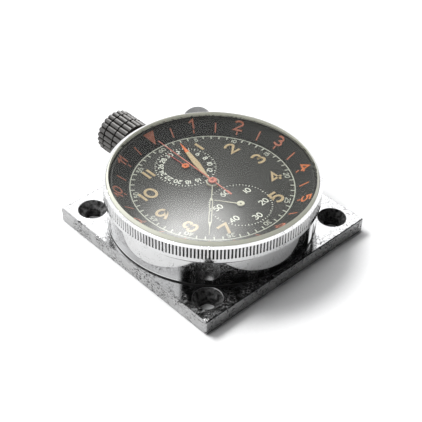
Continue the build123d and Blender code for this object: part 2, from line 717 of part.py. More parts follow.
with BuildPart() as crystal:
    dome_middle = CRYSTAL_RADIUS / 2
    with BuildSketch(Plane.XZ) as profile:
        with BuildLine():
            Polyline(
                CRYSTAL_HOLLOW,
                (CRYSTAL_RADIUS, CRYSTAL_HOLLOW[1]),
                (CRYSTAL_RADIUS, CRYSTAL_BEVEL_BOTTOM),
                CRYSTAL_BEVEL_TOP,
            )
            ThreePointArc(
                CRYSTAL_BEVEL_TOP,
                (dome_middle, dome_level(CRYSTAL_BEVEL_TOP, CRYSTAL_TOP, dome_middle)),
                (0, CRYSTAL_TOP),
            )
            Line((0, CRYSTAL_TOP), (0, CRYSTAL_HOLLOW_TOP))
            ThreePointArc(
                (0, CRYSTAL_HOLLOW_TOP),
                (dome_middle, dome_level(CRYSTAL_HOLLOW, CRYSTAL_HOLLOW_TOP, dome_middle)),
                CRYSTAL_HOLLOW,
            )
        make_face()
    revolve(axis=Axis.Z)
crystal.part.label = "crystal"
export_step(crystal.part, "parts/crystal.step")

with BuildPart() as bezel_spring:
    with BuildSketch(Plane.XZ) as section:
        with Locations((WIRE_CIRCLE, WIRE_HEIGHT)):
            Circle(WIRE_RADIUS)
    revolve(axis=Axis.Z, revolution_arc=WIRE_ARC)
bezel_spring.part.label = "bezel_spring"
export_step(bezel_spring.part, "parts/bezel_spring.step")

# ------------------------------------------------------------------ dial and movement ring
with BuildPart() as dial:
    disc(DIAL_RADIUS, DIAL_Z)
    disc(DIAL_BORE, DIAL_Z, mode=Mode.SUBTRACT)
    for subdial_centre in (SECONDS_CENTRE, COUNTER_CENTRE):
        disc(SUBDIAL_RADIUS, (DIAL_Z[1] - SUBDIAL_SINK, DIAL_Z[1]), subdial_centre, Mode.SUBTRACT)
        disc(SUBDIAL_BORE, DIAL_Z, subdial_centre, Mode.SUBTRACT)
dial.part.label = "dial"
export_step(dial.part, "parts/dial.step")

with BuildPart() as movement_ring:
    ring(RING_RADII[1], RING_RADII[0], RING_Z)
    for bearing in (0, PUSHER_BEARING):
        port_reach = (RING_RADII[0] - CUT_MARGIN, RING_RADII[1] + CUT_MARGIN)
        rod(STEM_PORT_RADIUS, *port_reach, bearing, Mode.SUBTRACT)
    slot_length = LUG_SLOT_REACH - MOVEMENT_RIM
    slot_spot = toward(PUSHER_BEARING, MOVEMENT_RIM + slot_length / 2)
    with Locations(Location((*slot_spot, RING_Z[0]), (0, 0, -PUSHER_BEARING))):
        Box(LUG_SLOT_WIDTH, slot_length, LUG_SLOT_TOP - RING_Z[0], align=BASE, mode=Mode.SUBTRACT)
movement_ring.part.label = "movement_ring"
export_step(movement_ring.part, "parts/movement_ring.step")

# ------------------------------------------------------------------ plates and bridges
PASSING_RADIUS = FOURTH_ARBOR_RADIUS + RUNNING_GAP
PLATE_PIVOTS = (THIRD_CENTRE, ESCAPE_CENTRE, BALANCE_CENTRE, PALLET_CENTRE)
TRAIN_PIVOTS = (THIRD_CENTRE, ESCAPE_CENTRE)
PASSING_ARBORS = (SECONDS_CENTRE, COUNTER_CENTRE)
PLATE_JEWEL_Z = (PLATE_Z[0], PLATE_Z[0] + JEWEL_THICKNESS)
BRIDGE_JEWEL_Z = (BRIDGE_Z[1] - JEWEL_THICKNESS, BRIDGE_Z[1])
ALL_PILLARS = (*BARREL_PILLARS, *TRAIN_PILLARS, COCK_PILLAR)
PILLAR_Z = (BRIDGE_Z[1], PLATE_Z[0])
CENTRE_BEARING = CENTRE_ARBOR_RADIUS + RUNNING_GAP
BARREL_BEARING = BARREL_PIVOT_RADIUS + RUNNING_GAP
PIVOT_HOLE = PIVOT_RADIUS + PIVOT_GAP

with BuildPart() as main_plate:
    disc(MOVEMENT_RADIUS, PLATE_Z)
    ring(MOVEMENT_RADIUS, MOVEMENT_RIM, (PLATE_Z[1], DIAL_Z[0]))
    disc(CENTRE_BEARING, PLATE_Z, mode=Mode.SUBTRACT)
    disc(BARREL_BEARING, PLATE_Z, BARREL_CENTRE, Mode.SUBTRACT)
    for spot in (*PLATE_PIVOTS, *PASSING_ARBORS):
        disc(JEWEL_RADIUS, PLATE_JEWEL_Z, spot, Mode.SUBTRACT)
    for spot in PASSING_ARBORS:
        disc(PASSING_RADIUS, PLATE_Z, spot, Mode.SUBTRACT)
    for spot in (*ALL_PILLARS, PALLET_COCK_FOOT):
        disc(SCREW_RADIUS, (PLATE_Z[0], SCREW_TOP), spot, Mode.SUBTRACT)
    with Locations((0, PINION_POCKET[1], PLATE_Z[0])):
        Box(
            PINION_POCKET[0],
            PINION_POCKET[2] - PINION_POCKET[1],
            PLATE_Z[1] - PLATE_Z[0],
            align=(Align.CENTER, Align.MIN, Align.MIN),
            mode=Mode.SUBTRACT,
        )
    with Locations((0, PINION_POCKET[2], PLATE_Z[0])):
        Box(
            STEM_SLOT_WIDTH,
            MOVEMENT_RADIUS - PINION_POCKET[2] + CUT_MARGIN,
            STEM_SLOT_TOP - PLATE_Z[0],
            align=(Align.CENTER, Align.MIN, Align.MIN),
            mode=Mode.SUBTRACT,
        )
    disc(MINUTE_POST_RADIUS, (PLATE_Z[1], DIAL_Z[0] - FACE_GAP), MINUTE_WHEEL_CENTRE)
    disc(POST_RADIUS, (SETTING_LEVER_Z[0], PLATE_Z[0]), SETTING_PIVOT)
main_plate.part.label = "main_plate"
export_step(main_plate.part, "parts/main_plate.step")

with BuildPart() as barrel_bridge:
    hull_plate(
        (
            (*BARREL_CENTRE, BARREL_PAD),
            *((*spot, PILLAR_PAD) for spot in BARREL_PILLARS),
            (*COLUMN_CENTRE, COLUMN_PAD),
        ),
        BRIDGE_Z,
        MOVEMENT_RADIUS,
    )
    for spot in BARREL_PILLARS:
        disc(PILLAR_RADIUS, PILLAR_Z, spot)
    for spot in (CROWN_WHEEL_CENTRE, IDLER_CENTRE):
        disc(WINDING_POST_RADIUS, (BRIDGE_Z[1], WINDING_POST_TOP), spot)
    disc(SCREW_RADIUS, (BRIDGE_Z[1], WINDING_Z[1]), CLICK_PIVOT)
    disc(POST_RADIUS, (OPERATING_LEVER_Z[0], BRIDGE_Z[0]), OPERATING_PIVOT)
    disc(POST_RADIUS, (HAMMER_Z[0], BRIDGE_Z[0]), HAMMER_PIVOT)
    disc(POST_RADIUS, (COLUMN[2], BRIDGE_Z[0]), COLUMN_CENTRE)
    for spot in BARREL_PILLARS:
        disc(SCREW_RADIUS, (BRIDGE_Z[0], PLATE_Z[0]), spot, Mode.SUBTRACT)
    for spot in CHRONO_PILLARS:
        disc(SCREW_RADIUS, BRIDGE_Z, spot, Mode.SUBTRACT)
    disc(BARREL_BEARING, BRIDGE_Z, BARREL_CENTRE, Mode.SUBTRACT)
    disc(JEWEL_RADIUS, BRIDGE_JEWEL_Z, COUNTER_CENTRE, Mode.SUBTRACT)
    disc(PASSING_RADIUS, BRIDGE_Z, COUNTER_CENTRE, Mode.SUBTRACT)
    disc(PIVOT_HOLE, BRIDGE_Z, INTERMEDIATE_CENTRE, Mode.SUBTRACT)
barrel_bridge.part.label = "barrel_bridge"
export_step(barrel_bridge.part, "parts/barrel_bridge.step")

with BuildPart() as train_bridge:
    hull_plate(
        (
            (*CENTRE, CENTRE_PAD),
            (*ESCAPE_CENTRE, PILLAR_PAD),
            *((*spot, PILLAR_PAD) for spot in TRAIN_PILLARS),
        ),
        BRIDGE_Z,
        MOVEMENT_RADIUS,
    )
    for spot in TRAIN_PILLARS:
        disc(PILLAR_RADIUS, PILLAR_Z, spot)
    disc(POST_RADIUS, (COUPLING_LEVER_Z[0], BRIDGE_Z[0]), COUPLING_PIVOT)
    for spot in TRAIN_PILLARS:
        disc(SCREW_RADIUS, (BRIDGE_Z[0], PLATE_Z[0]), spot, Mode.SUBTRACT)
    disc(CENTRE_BEARING, BRIDGE_Z, mode=Mode.SUBTRACT)
    for spot in (*TRAIN_PIVOTS, SECONDS_CENTRE):
        disc(JEWEL_RADIUS, BRIDGE_JEWEL_Z, spot, Mode.SUBTRACT)
    disc(PASSING_RADIUS, BRIDGE_Z, SECONDS_CENTRE, Mode.SUBTRACT)
train_bridge.part.label = "train_bridge"
export_step(train_bridge.part, "parts/train_bridge.step")

with BuildPart() as balance_cock:
    hull_plate(((*BALANCE_CENTRE, BALANCE_PAD), (*COCK_PILLAR, COCK_PAD)), BRIDGE_Z)
    disc(PILLAR_RADIUS, PILLAR_Z, COCK_PILLAR)
    disc(SCREW_RADIUS, (BRIDGE_Z[0], PLATE_Z[0]), COCK_PILLAR, Mode.SUBTRACT)
    disc(JEWEL_RADIUS, BRIDGE_JEWEL_Z, BALANCE_CENTRE, Mode.SUBTRACT)
    stud_arm = ((*BALANCE_CENTRE, BALANCE_PAD), (*STUD_CENTRE, STUD_RADII[1]))
    hull_plate(stud_arm, (BRIDGE_Z[0], BRIDGE_JEWEL_Z[0]))
    disc(STUD_RADII[0], (BRIDGE_Z[0], HAIRSPRING_Z[1] + FACE_GAP), STUD_CENTRE)
balance_cock.part.label = "balance_cock"
export_step(balance_cock.part, "parts/balance_cock.step")

with BuildPart() as pallet_cock:
    arm_radius, foot_radius = PALLET_COCK_RADII
    hull_plate(((*PALLET_CENTRE, arm_radius), (*PALLET_COCK_FOOT, foot_radius)), PALLET_COCK_Z)
    disc(foot_radius, (PALLET_COCK_Z[1], PLATE_Z[0]), PALLET_COCK_FOOT)
    disc(PIVOT_HOLE, PALLET_COCK_Z, PALLET_CENTRE, Mode.SUBTRACT)
    disc(SCREW_RADIUS, (PALLET_COCK_Z[0], PLATE_Z[0]), PALLET_COCK_FOOT, Mode.SUBTRACT)
pallet_cock.part.label = "pallet_cock"
export_step(pallet_cock.part, "parts/pallet_cock.step")

with BuildPart() as chronograph_bridge:
    pivot_pad, pillar_pad = CHRONO_BRIDGE_PADS
    pivot_circles = ((*CENTRE, pivot_pad), (*COUNTER_CENTRE, pivot_pad))
    hull_plate(
        (*pivot_circles, *((*spot, pillar_pad) for spot in CHRONO_PILLARS)),
        CHRONO_BRIDGE_Z,
    )
    for spot in CHRONO_PILLARS:
        disc(PILLAR_RADIUS, (CHRONO_BRIDGE_Z[1], BRIDGE_Z[0]), spot)
        disc(SCREW_RADIUS, (CHRONO_BRIDGE_Z[0], BRIDGE_Z[0]), spot, Mode.SUBTRACT)
    for spot in (CENTRE, COUNTER_CENTRE, INTERMEDIATE_CENTRE):
        disc(PIVOT_HOLE, CHRONO_BRIDGE_Z, spot, Mode.SUBTRACT)
chronograph_bridge.part.label = "chronograph_bridge"
export_step(chronograph_bridge.part, "parts/chronograph_bridge.step")

with BuildPart() as bridge_screws:
    for spots, seat, screw_top in (
        (ALL_PILLARS, BRIDGE_Z[0], SCREW_TOP),
        (CHRONO_PILLARS, CHRONO_BRIDGE_Z[0], BRIDGE_Z[1]),
    ):
        for number, spot in enumerate(spots):
            disc(SCREW_RADIUS, (seat, screw_top), spot)
            disc(SCREW_HEAD_RADIUS, (seat - SCREW_HEAD_HEIGHT, seat), spot)
            slot_start = seat - SCREW_HEAD_HEIGHT - SLOT_DEPTH / 2
            screw_slot(spot, slot_start, number * SLOT_TURN_STEP)
    disc(SCREW_RADIUS, (PALLET_COCK_Z[0], SCREW_TOP), PALLET_COCK_FOOT)
bridge_screws.part.label = "bridge_screws"
export_step(bridge_screws.part, "parts/bridge_screws.step")

with BuildPart() as jewels:
    for levels, spots in (
        (PLATE_JEWEL_Z, (*PLATE_PIVOTS, *PASSING_ARBORS)),
        (BRIDGE_JEWEL_Z, (*TRAIN_PIVOTS, BALANCE_CENTRE, *PASSING_ARBORS)),
    ):
        for spot in spots:
            disc(JEWEL_RADIUS, levels, spot)
            hole = PASSING_RADIUS if spot in PASSING_ARBORS else PIVOT_HOLE
            disc(hole, levels, spot, Mode.SUBTRACT)
jewels.part.label = "jewels"
export_step(jewels.part, "parts/jewels.step")

# ------------------------------------------------------------------ crown, stem and winding work
with BuildPart() as crown_tube:
    rod(CROWN_TUBE[0], CROWN_TUBE[1], CROWN_TUBE[2])
    rod(TUBE_FLANGE[0], TUBE_FLANGE[1], TUBE_FLANGE[2])
    rod(STEM_BEARING_RADIUS + RUNNING_GAP, CROWN_TUBE[1], CROWN_TUBE[2], mode=Mode.SUBTRACT)
crown_tube.part.label = "crown_tube"
export_step(crown_tube.part, "parts/crown_tube.step")

with BuildPart() as crown:
    for row in range(CROWN_ROWS):
        row_start = CROWN_START + row * CROWN_ROW
        row_length = CROWN_ROW - CROWN_NECK_GAP
        with BuildSketch(radial_plane(0, row_start)) as ribs:
            Circle(CROWN_CORE_RADIUS)
            with PolarLocations(CROWN_RADIUS - CROWN_RIB_RADIUS, CROWN_RIBS):
                Circle(CROWN_RIB_RADIUS)
        extrude(amount=row_length)
    end_reach = CROWN_START + CROWN_ROWS * CROWN_ROW - CROWN_NECK_GAP
    rod(CROWN_NECK_RADIUS, CROWN_START, end_reach)
    with BuildSketch(radial_plane(0, end_reach - CROWN_END_BREAK)) as cap_outline:
        Circle(CROWN_RADIUS + CUT_MARGIN)
        Circle(CROWN_RADIUS - CROWN_END_BREAK, mode=Mode.SUBTRACT)
    extrude(amount=CROWN_END_BREAK, taper=-45, mode=Mode.SUBTRACT)
    rod(CROWN_CAVITY[0], CROWN_START, CROWN_CAVITY[1], mode=Mode.SUBTRACT)
    rod(STEM_BEARING_RADIUS, CROWN_CAVITY[1], STEM_STEPS[3], mode=Mode.SUBTRACT)
crown.part.label = "crown"
export_step(crown.part, "parts/crown.step")

with BuildPart() as winding_stem:
    with BuildSketch(radial_plane(0, STEM_STEPS[0])) as square:
        Rectangle(STEM_SQUARE, STEM_SQUARE)
    extrude(amount=STEM_STEPS[1] - STEM_STEPS[0])
    rod(STEM_MIDDLE_RADIUS, STEM_STEPS[1], STEM_GROOVE[1])
    rod(STEM_GROOVE[0], STEM_GROOVE[1], STEM_GROOVE[2])
    rod(STEM_MIDDLE_RADIUS, STEM_GROOVE[2], STEM_STEPS[2])
    rod(STEM_BEARING_RADIUS, STEM_STEPS[2], STEM_STEPS[3])
winding_stem.part.label = "winding_stem"
export_step(winding_stem.part, "parts/winding_stem.step")

with BuildPart() as crown_seal:
    rod(SEAL_RADII[1], *SEAL_REACH)
    rod(SEAL_RADII[0], *SEAL_REACH, mode=Mode.SUBTRACT)
crown_seal.part.label = "crown_seal"
export_step(crown_seal.part, "parts/crown_seal.step")

with BuildPart() as winding_pinion:
    with BuildSketch(radial_plane(0, WINDING_PINION_REACH[0])) as pinion_outline:
        with BuildLine():
            Polyline(*gear_points(WINDING_PINION_TEETH, WINDING_PINION_MODULE, 90), close=True)
        make_face()
    extrude(amount=WINDING_PINION_REACH[1] - WINDING_PINION_REACH[0])
    rod(WINDING_SLEEVE_RADIUS, WINDING_PINION_REACH[1], WINDING_PINION_REACH[2])
    with BuildSketch(radial_plane(0, WINDING_PINION_REACH[0])) as square:
        Rectangle(STEM_SQUARE + 2 * STEM_SQUARE_GAP, STEM_SQUARE + 2 * STEM_SQUARE_GAP)
    extrude(amount=WINDING_PINION_REACH[2] - WINDING_PINION_REACH[0], mode=Mode.SUBTRACT)
winding_pinion.part.label = "winding_pinion"
export_step(winding_pinion.part, "parts/winding_pinion.step")


def idle_mesh(first_tooth, teeth, line_angle, next_teeth):
    """The first-tooth angle of a wheel driven by an idler whose own first tooth is known."""
    share = ((line_angle - first_tooth) * teeth / 360) % 1
    return line_angle + 180 + (share + 0.5) * 360 / next_teeth


crown_to_idler = angle_between(CROWN_WHEEL_CENTRE, IDLER_CENTRE)
idler_to_ratchet = angle_between(IDLER_CENTRE, BARREL_CENTRE)
idler_tooth = meshed_tooth(IDLER_TEETH, crown_to_idler + 180)

with BuildPart() as crown_wheel:
    wheel(
        CROWN_WHEEL_TEETH,
        WINDING_MODULE,
        WINDING_Z,
        CROWN_WHEEL_CENTRE,
        crown_to_idler,
        bore=WINDING_POST_RADIUS + RUNNING_GAP,
    )
    with BuildSketch(Plane.XY.offset(WINDING_Z[1])) as face_teeth:
        for tooth in range(CONTRATE_TEETH):
            angle = (tooth + 0.5) * 360 / CONTRATE_TEETH - 90
            middle = polar(angle, sum(CONTRATE_RADII) / 2, CROWN_WHEEL_CENTRE)
            with Locations(Location((*middle, 0), (0, 0, angle))):
                Rectangle(CONTRATE_RADII[1] - CONTRATE_RADII[0], CONTRATE_WIDTH)
    extrude(amount=CONTRATE_TOP - WINDING_Z[1])
crown_wheel.part.label = "crown_wheel"
export_step(crown_wheel.part, "parts/crown_wheel.step")

with BuildPart() as winding_idler:
    wheel(
        IDLER_TEETH,
        WINDING_MODULE,
        WINDING_Z,
        IDLER_CENTRE,
        idler_tooth,
        bore=WINDING_POST_RADIUS + RUNNING_GAP,
    )
winding_idler.part.label = "winding_idler"
export_step(winding_idler.part, "parts/winding_idler.step")

with BuildPart() as ratchet_wheel:
    wheel(
        RATCHET_TEETH,
        WINDING_MODULE,
        WINDING_Z,
        BARREL_CENTRE,
        idle_mesh(idler_tooth, IDLER_TEETH, idler_to_ratchet, RATCHET_TEETH),
        bore=BARREL_ARBOR_RADIUS,
    )
ratchet_wheel.part.label = "ratchet_wheel"
export_step(ratchet_wheel.part, "parts/ratchet_wheel.step")

with BuildPart() as click:
    click_tip = polar(CLICK_TIP_ANGLE, CLICK_TIP_REACH, BARREL_CENTRE)
    hull_plate(((*CLICK_PIVOT, CLICK_PIVOT_RADIUS), (*click_tip, CLICK_TIP_RADIUS)), WINDING_Z)
    disc(SCREW_RADIUS + RUNNING_GAP, WINDING_Z, CLICK_PIVOT, Mode.SUBTRACT)
click.part.label = "click"
export_step(click.part, "parts/click.step")

with BuildPart() as setting_lever:
    hub_radius, end_radius = SETTING_LEVER_RADII
    hull_plate(((*SETTING_PIVOT, hub_radius), (*SETTING_PIN, end_radius)), SETTING_LEVER_Z)
    disc(SETTING_PIN_RADIUS, (SETTING_LEVER_Z[1], SETTING_PIN_TOP), SETTING_PIN)
    disc(POST_RADIUS + RUNNING_GAP, SETTING_LEVER_Z, SETTING_PIVOT, Mode.SUBTRACT)
setting_lever.part.label = "setting_lever"
export_step(setting_lever.part, "parts/setting_lever.step")

# ------------------------------------------------------------------ push-button
with BuildPart() as pusher_tube:
    rod(PUSHER_TUBE[0], PUSHER_TUBE[1], PUSHER_TUBE[2], PUSHER_BEARING)
    bore_radius = PUSHER_STEM_RADIUS + RUNNING_GAP
    rod(bore_radius, PUSHER_TUBE[1], PUSHER_TUBE[2], PUSHER_BEARING, Mode.SUBTRACT)
pusher_tube.part.label = "pusher_tube"
export_step(pusher_tube.part, "parts/pusher_tube.step")

with BuildPart() as push_button:
    rod(PUSHER_STEM_RADIUS, PUSHER_STEM_TIP, PUSHER_CAVITY[1], PUSHER_BEARING)
    with BuildSketch(radial_plane(PUSHER_BEARING, PUSHER_HEAD[1])) as head:
        Circle(PUSHER_HEAD[0])
        Circle(PUSHER_CAVITY[0], mode=Mode.SUBTRACT)
    extrude(amount=PUSHER_CAVITY[1] - PUSHER_HEAD[1])
    rod(PUSHER_HEAD[0], PUSHER_CAVITY[1], PUSHER_HEAD[2], PUSHER_BEARING)
    outward = radial_plane(PUSHER_BEARING, 0).z_dir
    far_face = push_button.faces().sort_by(Axis((0, 0, 0), tuple(outward)))[-1]
    fillet(far_face.edges(), PUSHER_DOME)
push_button.part.label = "push_button"
export_step(push_button.part, "parts/push_button.step")

with BuildPart() as pusher_spring:
    coil_radius, wire, pitch = PUSHER_SPRING
    spring_length = PUSHER_CAVITY[1] - PUSHER_TUBE[2] - 2 * wire
    start = radial_plane(PUSHER_BEARING, PUSHER_TUBE[2] + wire)
    with BuildLine() as coil:
        Helix(
            pitch,
            spring_length,
            coil_radius,
            center=tuple(start.origin),
            direction=tuple(start.z_dir),
        )
    outward = (coil.line @ 0) - start.origin
    with BuildSketch(Plane(origin=coil.line @ 0, x_dir=tuple(outward), z_dir=coil.line % 0)):
        Rectangle(wire, wire)
    sweep(is_frenet=True)
pusher_spring.part.label = "pusher_spring"
export_step(pusher_spring.part, "parts/pusher_spring.step")

# ------------------------------------------------------------------ going train
barrel_to_centre = angle_between(BARREL_CENTRE, CENTRE)
centre_to_third = angle_between(CENTRE, THIRD_CENTRE)
third_to_fourth = angle_between(THIRD_CENTRE, SECONDS_CENTRE)
fourth_to_escape = angle_between(SECONDS_CENTRE, ESCAPE_CENTRE)

with BuildPart() as barrel:
    disc(BARREL_DRUM_RADIUS, BARREL_Z, BARREL_CENTRE)
    wheel(BARREL_TEETH, BARREL_MODULE, BARREL_TEETH_Z, BARREL_CENTRE, barrel_to_centre)
    cavity_levels = (BARREL_Z[0] + BARREL_FLOOR, BARREL_Z[1] - BARREL_FLOOR)
    disc(BARREL_DRUM_RADIUS - BARREL_WALL, cavity_levels, BARREL_CENTRE, Mode.SUBTRACT)
    disc(BARREL_ARBOR_RADIUS + RUNNING_GAP, BARREL_Z, BARREL_CENTRE, Mode.SUBTRACT)
barrel.part.label = "barrel"
export_step(barrel.part, "parts/barrel.step")

with BuildPart() as barrel_arbor:
    disc(BARREL_ARBOR_RADIUS, (WINDING_Z[0], ARBOR_Z[1]), BARREL_CENTRE)
    core_levels = (cavity_levels[0] + FACE_GAP, cavity_levels[1] - FACE_GAP)
    disc(BARREL_CORE_RADIUS, core_levels, BARREL_CENTRE)
    disc(BARREL_PIVOT_RADIUS, (BRIDGE_Z[0] + FACE_GAP, BARREL_PIVOT_TOP), BARREL_CENTRE)
barrel_arbor.part.label = "barrel_arbor"
export_step(barrel_arbor.part, "parts/barrel_arbor.step")

with BuildPart() as mainspring:
    spiral_strip(*MAINSPRING, core_levels, BARREL_CENTRE)
mainspring.part.label = "mainspring"
export_step(mainspring.part, "parts/mainspring.step")

with BuildPart() as centre_wheel:
    wheel(CENTRE_TEETH, CENTRE_MODULE, CENTRE_WHEEL_Z, CENTRE, centre_to_third, spokes=2)
    wheel(
        CENTRE_PINION_TEETH,
        BARREL_MODULE,
        CENTRE_PINION_Z,
        CENTRE,
        meshed_tooth(CENTRE_PINION_TEETH, barrel_to_centre + 180),
    )
    disc(CENTRE_ARBOR_RADIUS, CENTRE_ARBOR_Z)
    disc(2 * CENTRE_ARBOR_RADIUS, (BRIDGE_Z[1] + FACE_GAP, CENTRE_PINION_Z[0]))
    disc(2 * CENTRE_ARBOR_RADIUS, (CENTRE_PINION_Z[1], PLATE_Z[0] - SLIDE_GAP))
    disc(CENTRE_ARBOR_BORE, CENTRE_ARBOR_Z, mode=Mode.SUBTRACT)
centre_wheel.part.label = "centre_wheel"
export_step(centre_wheel.part, "parts/centre_wheel.step")

with BuildPart() as third_wheel:
    wheel(THIRD_TEETH, THIRD_MODULE, THIRD_WHEEL_Z, THIRD_CENTRE, third_to_fourth, spokes=2)
    wheel(
        THIRD_PINION_TEETH,
        CENTRE_MODULE,
        THIRD_PINION_Z,
        THIRD_CENTRE,
        meshed_tooth(THIRD_PINION_TEETH, centre_to_third + 180),
    )
    pivoted_arbor(THIRD_CENTRE, ARBOR_RADIUS, ARBOR_Z)
third_wheel.part.label = "third_wheel"
export_step(third_wheel.part, "parts/third_wheel.step")

with BuildPart() as fourth_wheel:
    wheel(FOURTH_TEETH, FOURTH_MODULE, FOURTH_WHEEL_Z, SECONDS_CENTRE, fourth_to_escape, spokes=2)
    wheel(
        FOURTH_PINION_TEETH,
        THIRD_MODULE,
        FOURTH_PINION_Z,
        SECONDS_CENTRE,
        meshed_tooth(FOURTH_PINION_TEETH, third_to_fourth + 180),
    )
    disc(FOURTH_ARBOR_RADIUS, FOURTH_ARBOR_Z, SECONDS_CENTRE)
fourth_wheel.part.label = "fourth_wheel"
export_step(fourth_wheel.part, "parts/fourth_wheel.step")

with BuildPart() as escape_wheel:
    with BuildSketch(Plane.XY.offset(ESCAPE_WHEEL_Z[0])) as blank:
        escape_step = 360 / ESCAPE_TEETH
        with BuildLine():
            Polyline(
                *[
                    polar((tooth + share) * escape_step, radius, ESCAPE_CENTRE)
                    for tooth in range(ESCAPE_TEETH)
                    for share, radius in ESCAPE_TOOTH
                ],
                close=True,
            )
        make_face()
        rim_radius = ESCAPE_TOOTH[0][1] - ESCAPE_RIM
        spoke_length = 2 * (rim_radius + JOIN_OVERLAP)
        with Locations(ESCAPE_CENTRE):
            Circle(rim_radius, mode=Mode.SUBTRACT)
            Rectangle(spoke_length, ESCAPE_SPOKE)
            Rectangle(ESCAPE_SPOKE, spoke_length)
            Circle(WHEEL_HUB / 2)
    extrude(amount=ESCAPE_WHEEL_Z[1] - ESCAPE_WHEEL_Z[0])
    wheel(
        ESCAPE_PINION_TEETH,
        FOURTH_MODULE,
        ESCAPE_PINION_Z,
        ESCAPE_CENTRE,
        meshed_tooth(ESCAPE_PINION_TEETH, fourth_to_escape + 180),
    )
    pivoted_arbor(ESCAPE_CENTRE, ARBOR_RADIUS, ARBOR_Z)
escape_wheel.part.label = "escape_wheel"
export_step(escape_wheel.part, "parts/escape_wheel.step")

# ------------------------------------------------------------------ escapement and balance
pallet_to_escape = angle_between(PALLET_CENTRE, ESCAPE_CENTRE)
pallet_to_balance = angle_between(PALLET_CENTRE, BALANCE_CENTRE)

with BuildPart() as pallet_fork:
    with BuildSketch(Plane.XY.offset(PALLET_Z[0])) as anchor:
        with Locations(PALLET_CENTRE):
            Circle(PALLET_HUB_RADIUS)
        for side in (1, -1):
            stone = polar(
                pallet_to_escape + 180 + side * PALLET_SPREAD, PALLET_REACH, ESCAPE_CENTRE
            )
            middle = ((stone[0] + PALLET_CENTRE[0]) / 2, (stone[1] + PALLET_CENTRE[1]) / 2)
            arm_angle = angle_between(PALLET_CENTRE, stone)
            arm_length = math.dist(PALLET_CENTRE, stone)
            with Locations(Location((*middle, 0), (0, 0, arm_angle))):
                Rectangle(arm_length, PALLET_ARM_WIDTH)
        tail = polar(pallet_to_balance, FORK_LENGTH / 2, PALLET_CENTRE)
        with Locations(Location((*tail, 0), (0, 0, pallet_to_balance))):
            Rectangle(FORK_LENGTH, PALLET_ARM_WIDTH)
        fork_end = polar(pallet_to_balance, FORK_LENGTH, PALLET_CENTRE)
        with Locations(Location((*fork_end, 0), (0, 0, pallet_to_balance))):
            Rectangle(*FORK_HEAD)
        slot_end = polar(pallet_to_balance, FORK_LENGTH + FORK_SLOT_OFFSET, PALLET_CENTRE)
        with Locations(Location((*slot_end, 0), (0, 0, pallet_to_balance))):
            Rectangle(*FORK_SLOT, mode=Mode.SUBTRACT)
    extrude(amount=PALLET_Z[1] - PALLET_Z[0])
    pivoted_arbor(PALLET_CENTRE, ARBOR_RADIUS, (PALLET_COCK_Z[1] + SLIDE_GAP, ARBOR_Z[1]))
pallet_fork.part.label = "pallet_fork"
export_step(pallet_fork.part, "parts/pallet_fork.step")

with BuildPart() as balance_wheel:
    with BuildSketch(Plane.XY.offset(BALANCE_Z[0])) as rim:
        with Locations(BALANCE_CENTRE):
            Circle(BALANCE_RADII[1])
            Circle(BALANCE_RADII[0], mode=Mode.SUBTRACT)
            Circle(BALANCE_ARM_WIDTH)
        with Locations(Location((*BALANCE_CENTRE, 0), (0, 0, pallet_to_balance + 90))):
            Rectangle(2 * (BALANCE_RADII[0] + JOIN_OVERLAP), BALANCE_ARM_WIDTH)
    extrude(amount=BALANCE_Z[1] - BALANCE_Z[0])
    for screw in range(BALANCE_SCREWS):
        angle = (screw + 0.5) * 360 / BALANCE_SCREWS
        spot = polar(angle, BALANCE_RADII[1] - JOIN_OVERLAP, BALANCE_CENTRE)
        level = sum(BALANCE_Z) / 2
        outward = (math.cos(math.radians(angle)), math.sin(math.radians(angle)), 0)
        with BuildSketch(Plane(origin=(*spot, level), z_dir=outward)) as screw_section:
            Circle(BALANCE_SCREW[0])
        extrude(amount=BALANCE_SCREW[1] + JOIN_OVERLAP)
    disc(ROLLER[0], (ROLLER[1], ROLLER[2]), BALANCE_CENTRE)
    pin_spot = polar(pallet_to_balance + 180, ROLLER_PIN[1], BALANCE_CENTRE)
    disc(ROLLER_PIN[0], (ROLLER[2], ROLLER_PIN[2]), pin_spot)
    pivoted_arbor(BALANCE_CENTRE, ARBOR_RADIUS, ARBOR_Z)
balance_wheel.part.label = "balance_wheel"
export_step(balance_wheel.part, "parts/balance_wheel.step")

with BuildPart() as hairspring:
    spiral_strip(*HAIRSPRING, HAIRSPRING_Z, BALANCE_CENTRE)
    disc(COLLET_RADIUS, HAIRSPRING_Z, BALANCE_CENTRE)
    disc(ARBOR_RADIUS, HAIRSPRING_Z, BALANCE_CENTRE, Mode.SUBTRACT)
hairspring.part.label = "hairspring"
export_step(hairspring.part, "parts/hairspring.step")

# ------------------------------------------------------------------ motion works
centre_to_minute = angle_between(CENTRE, MINUTE_WHEEL_CENTRE)

with BuildPart() as cannon_pinion:
    disc(CANNON_RADIUS, CANNON_Z)
    wheel(CANNON_TEETH, MOTION_MODULE, CANNON_TEETH_Z, CENTRE, centre_to_minute)
    disc(CENTRE_ARBOR_RADIUS, CANNON_Z, mode=Mode.SUBTRACT)
cannon_pinion.part.label = "cannon_pinion"
export_step(cannon_pinion.part, "parts/cannon_pinion.step")

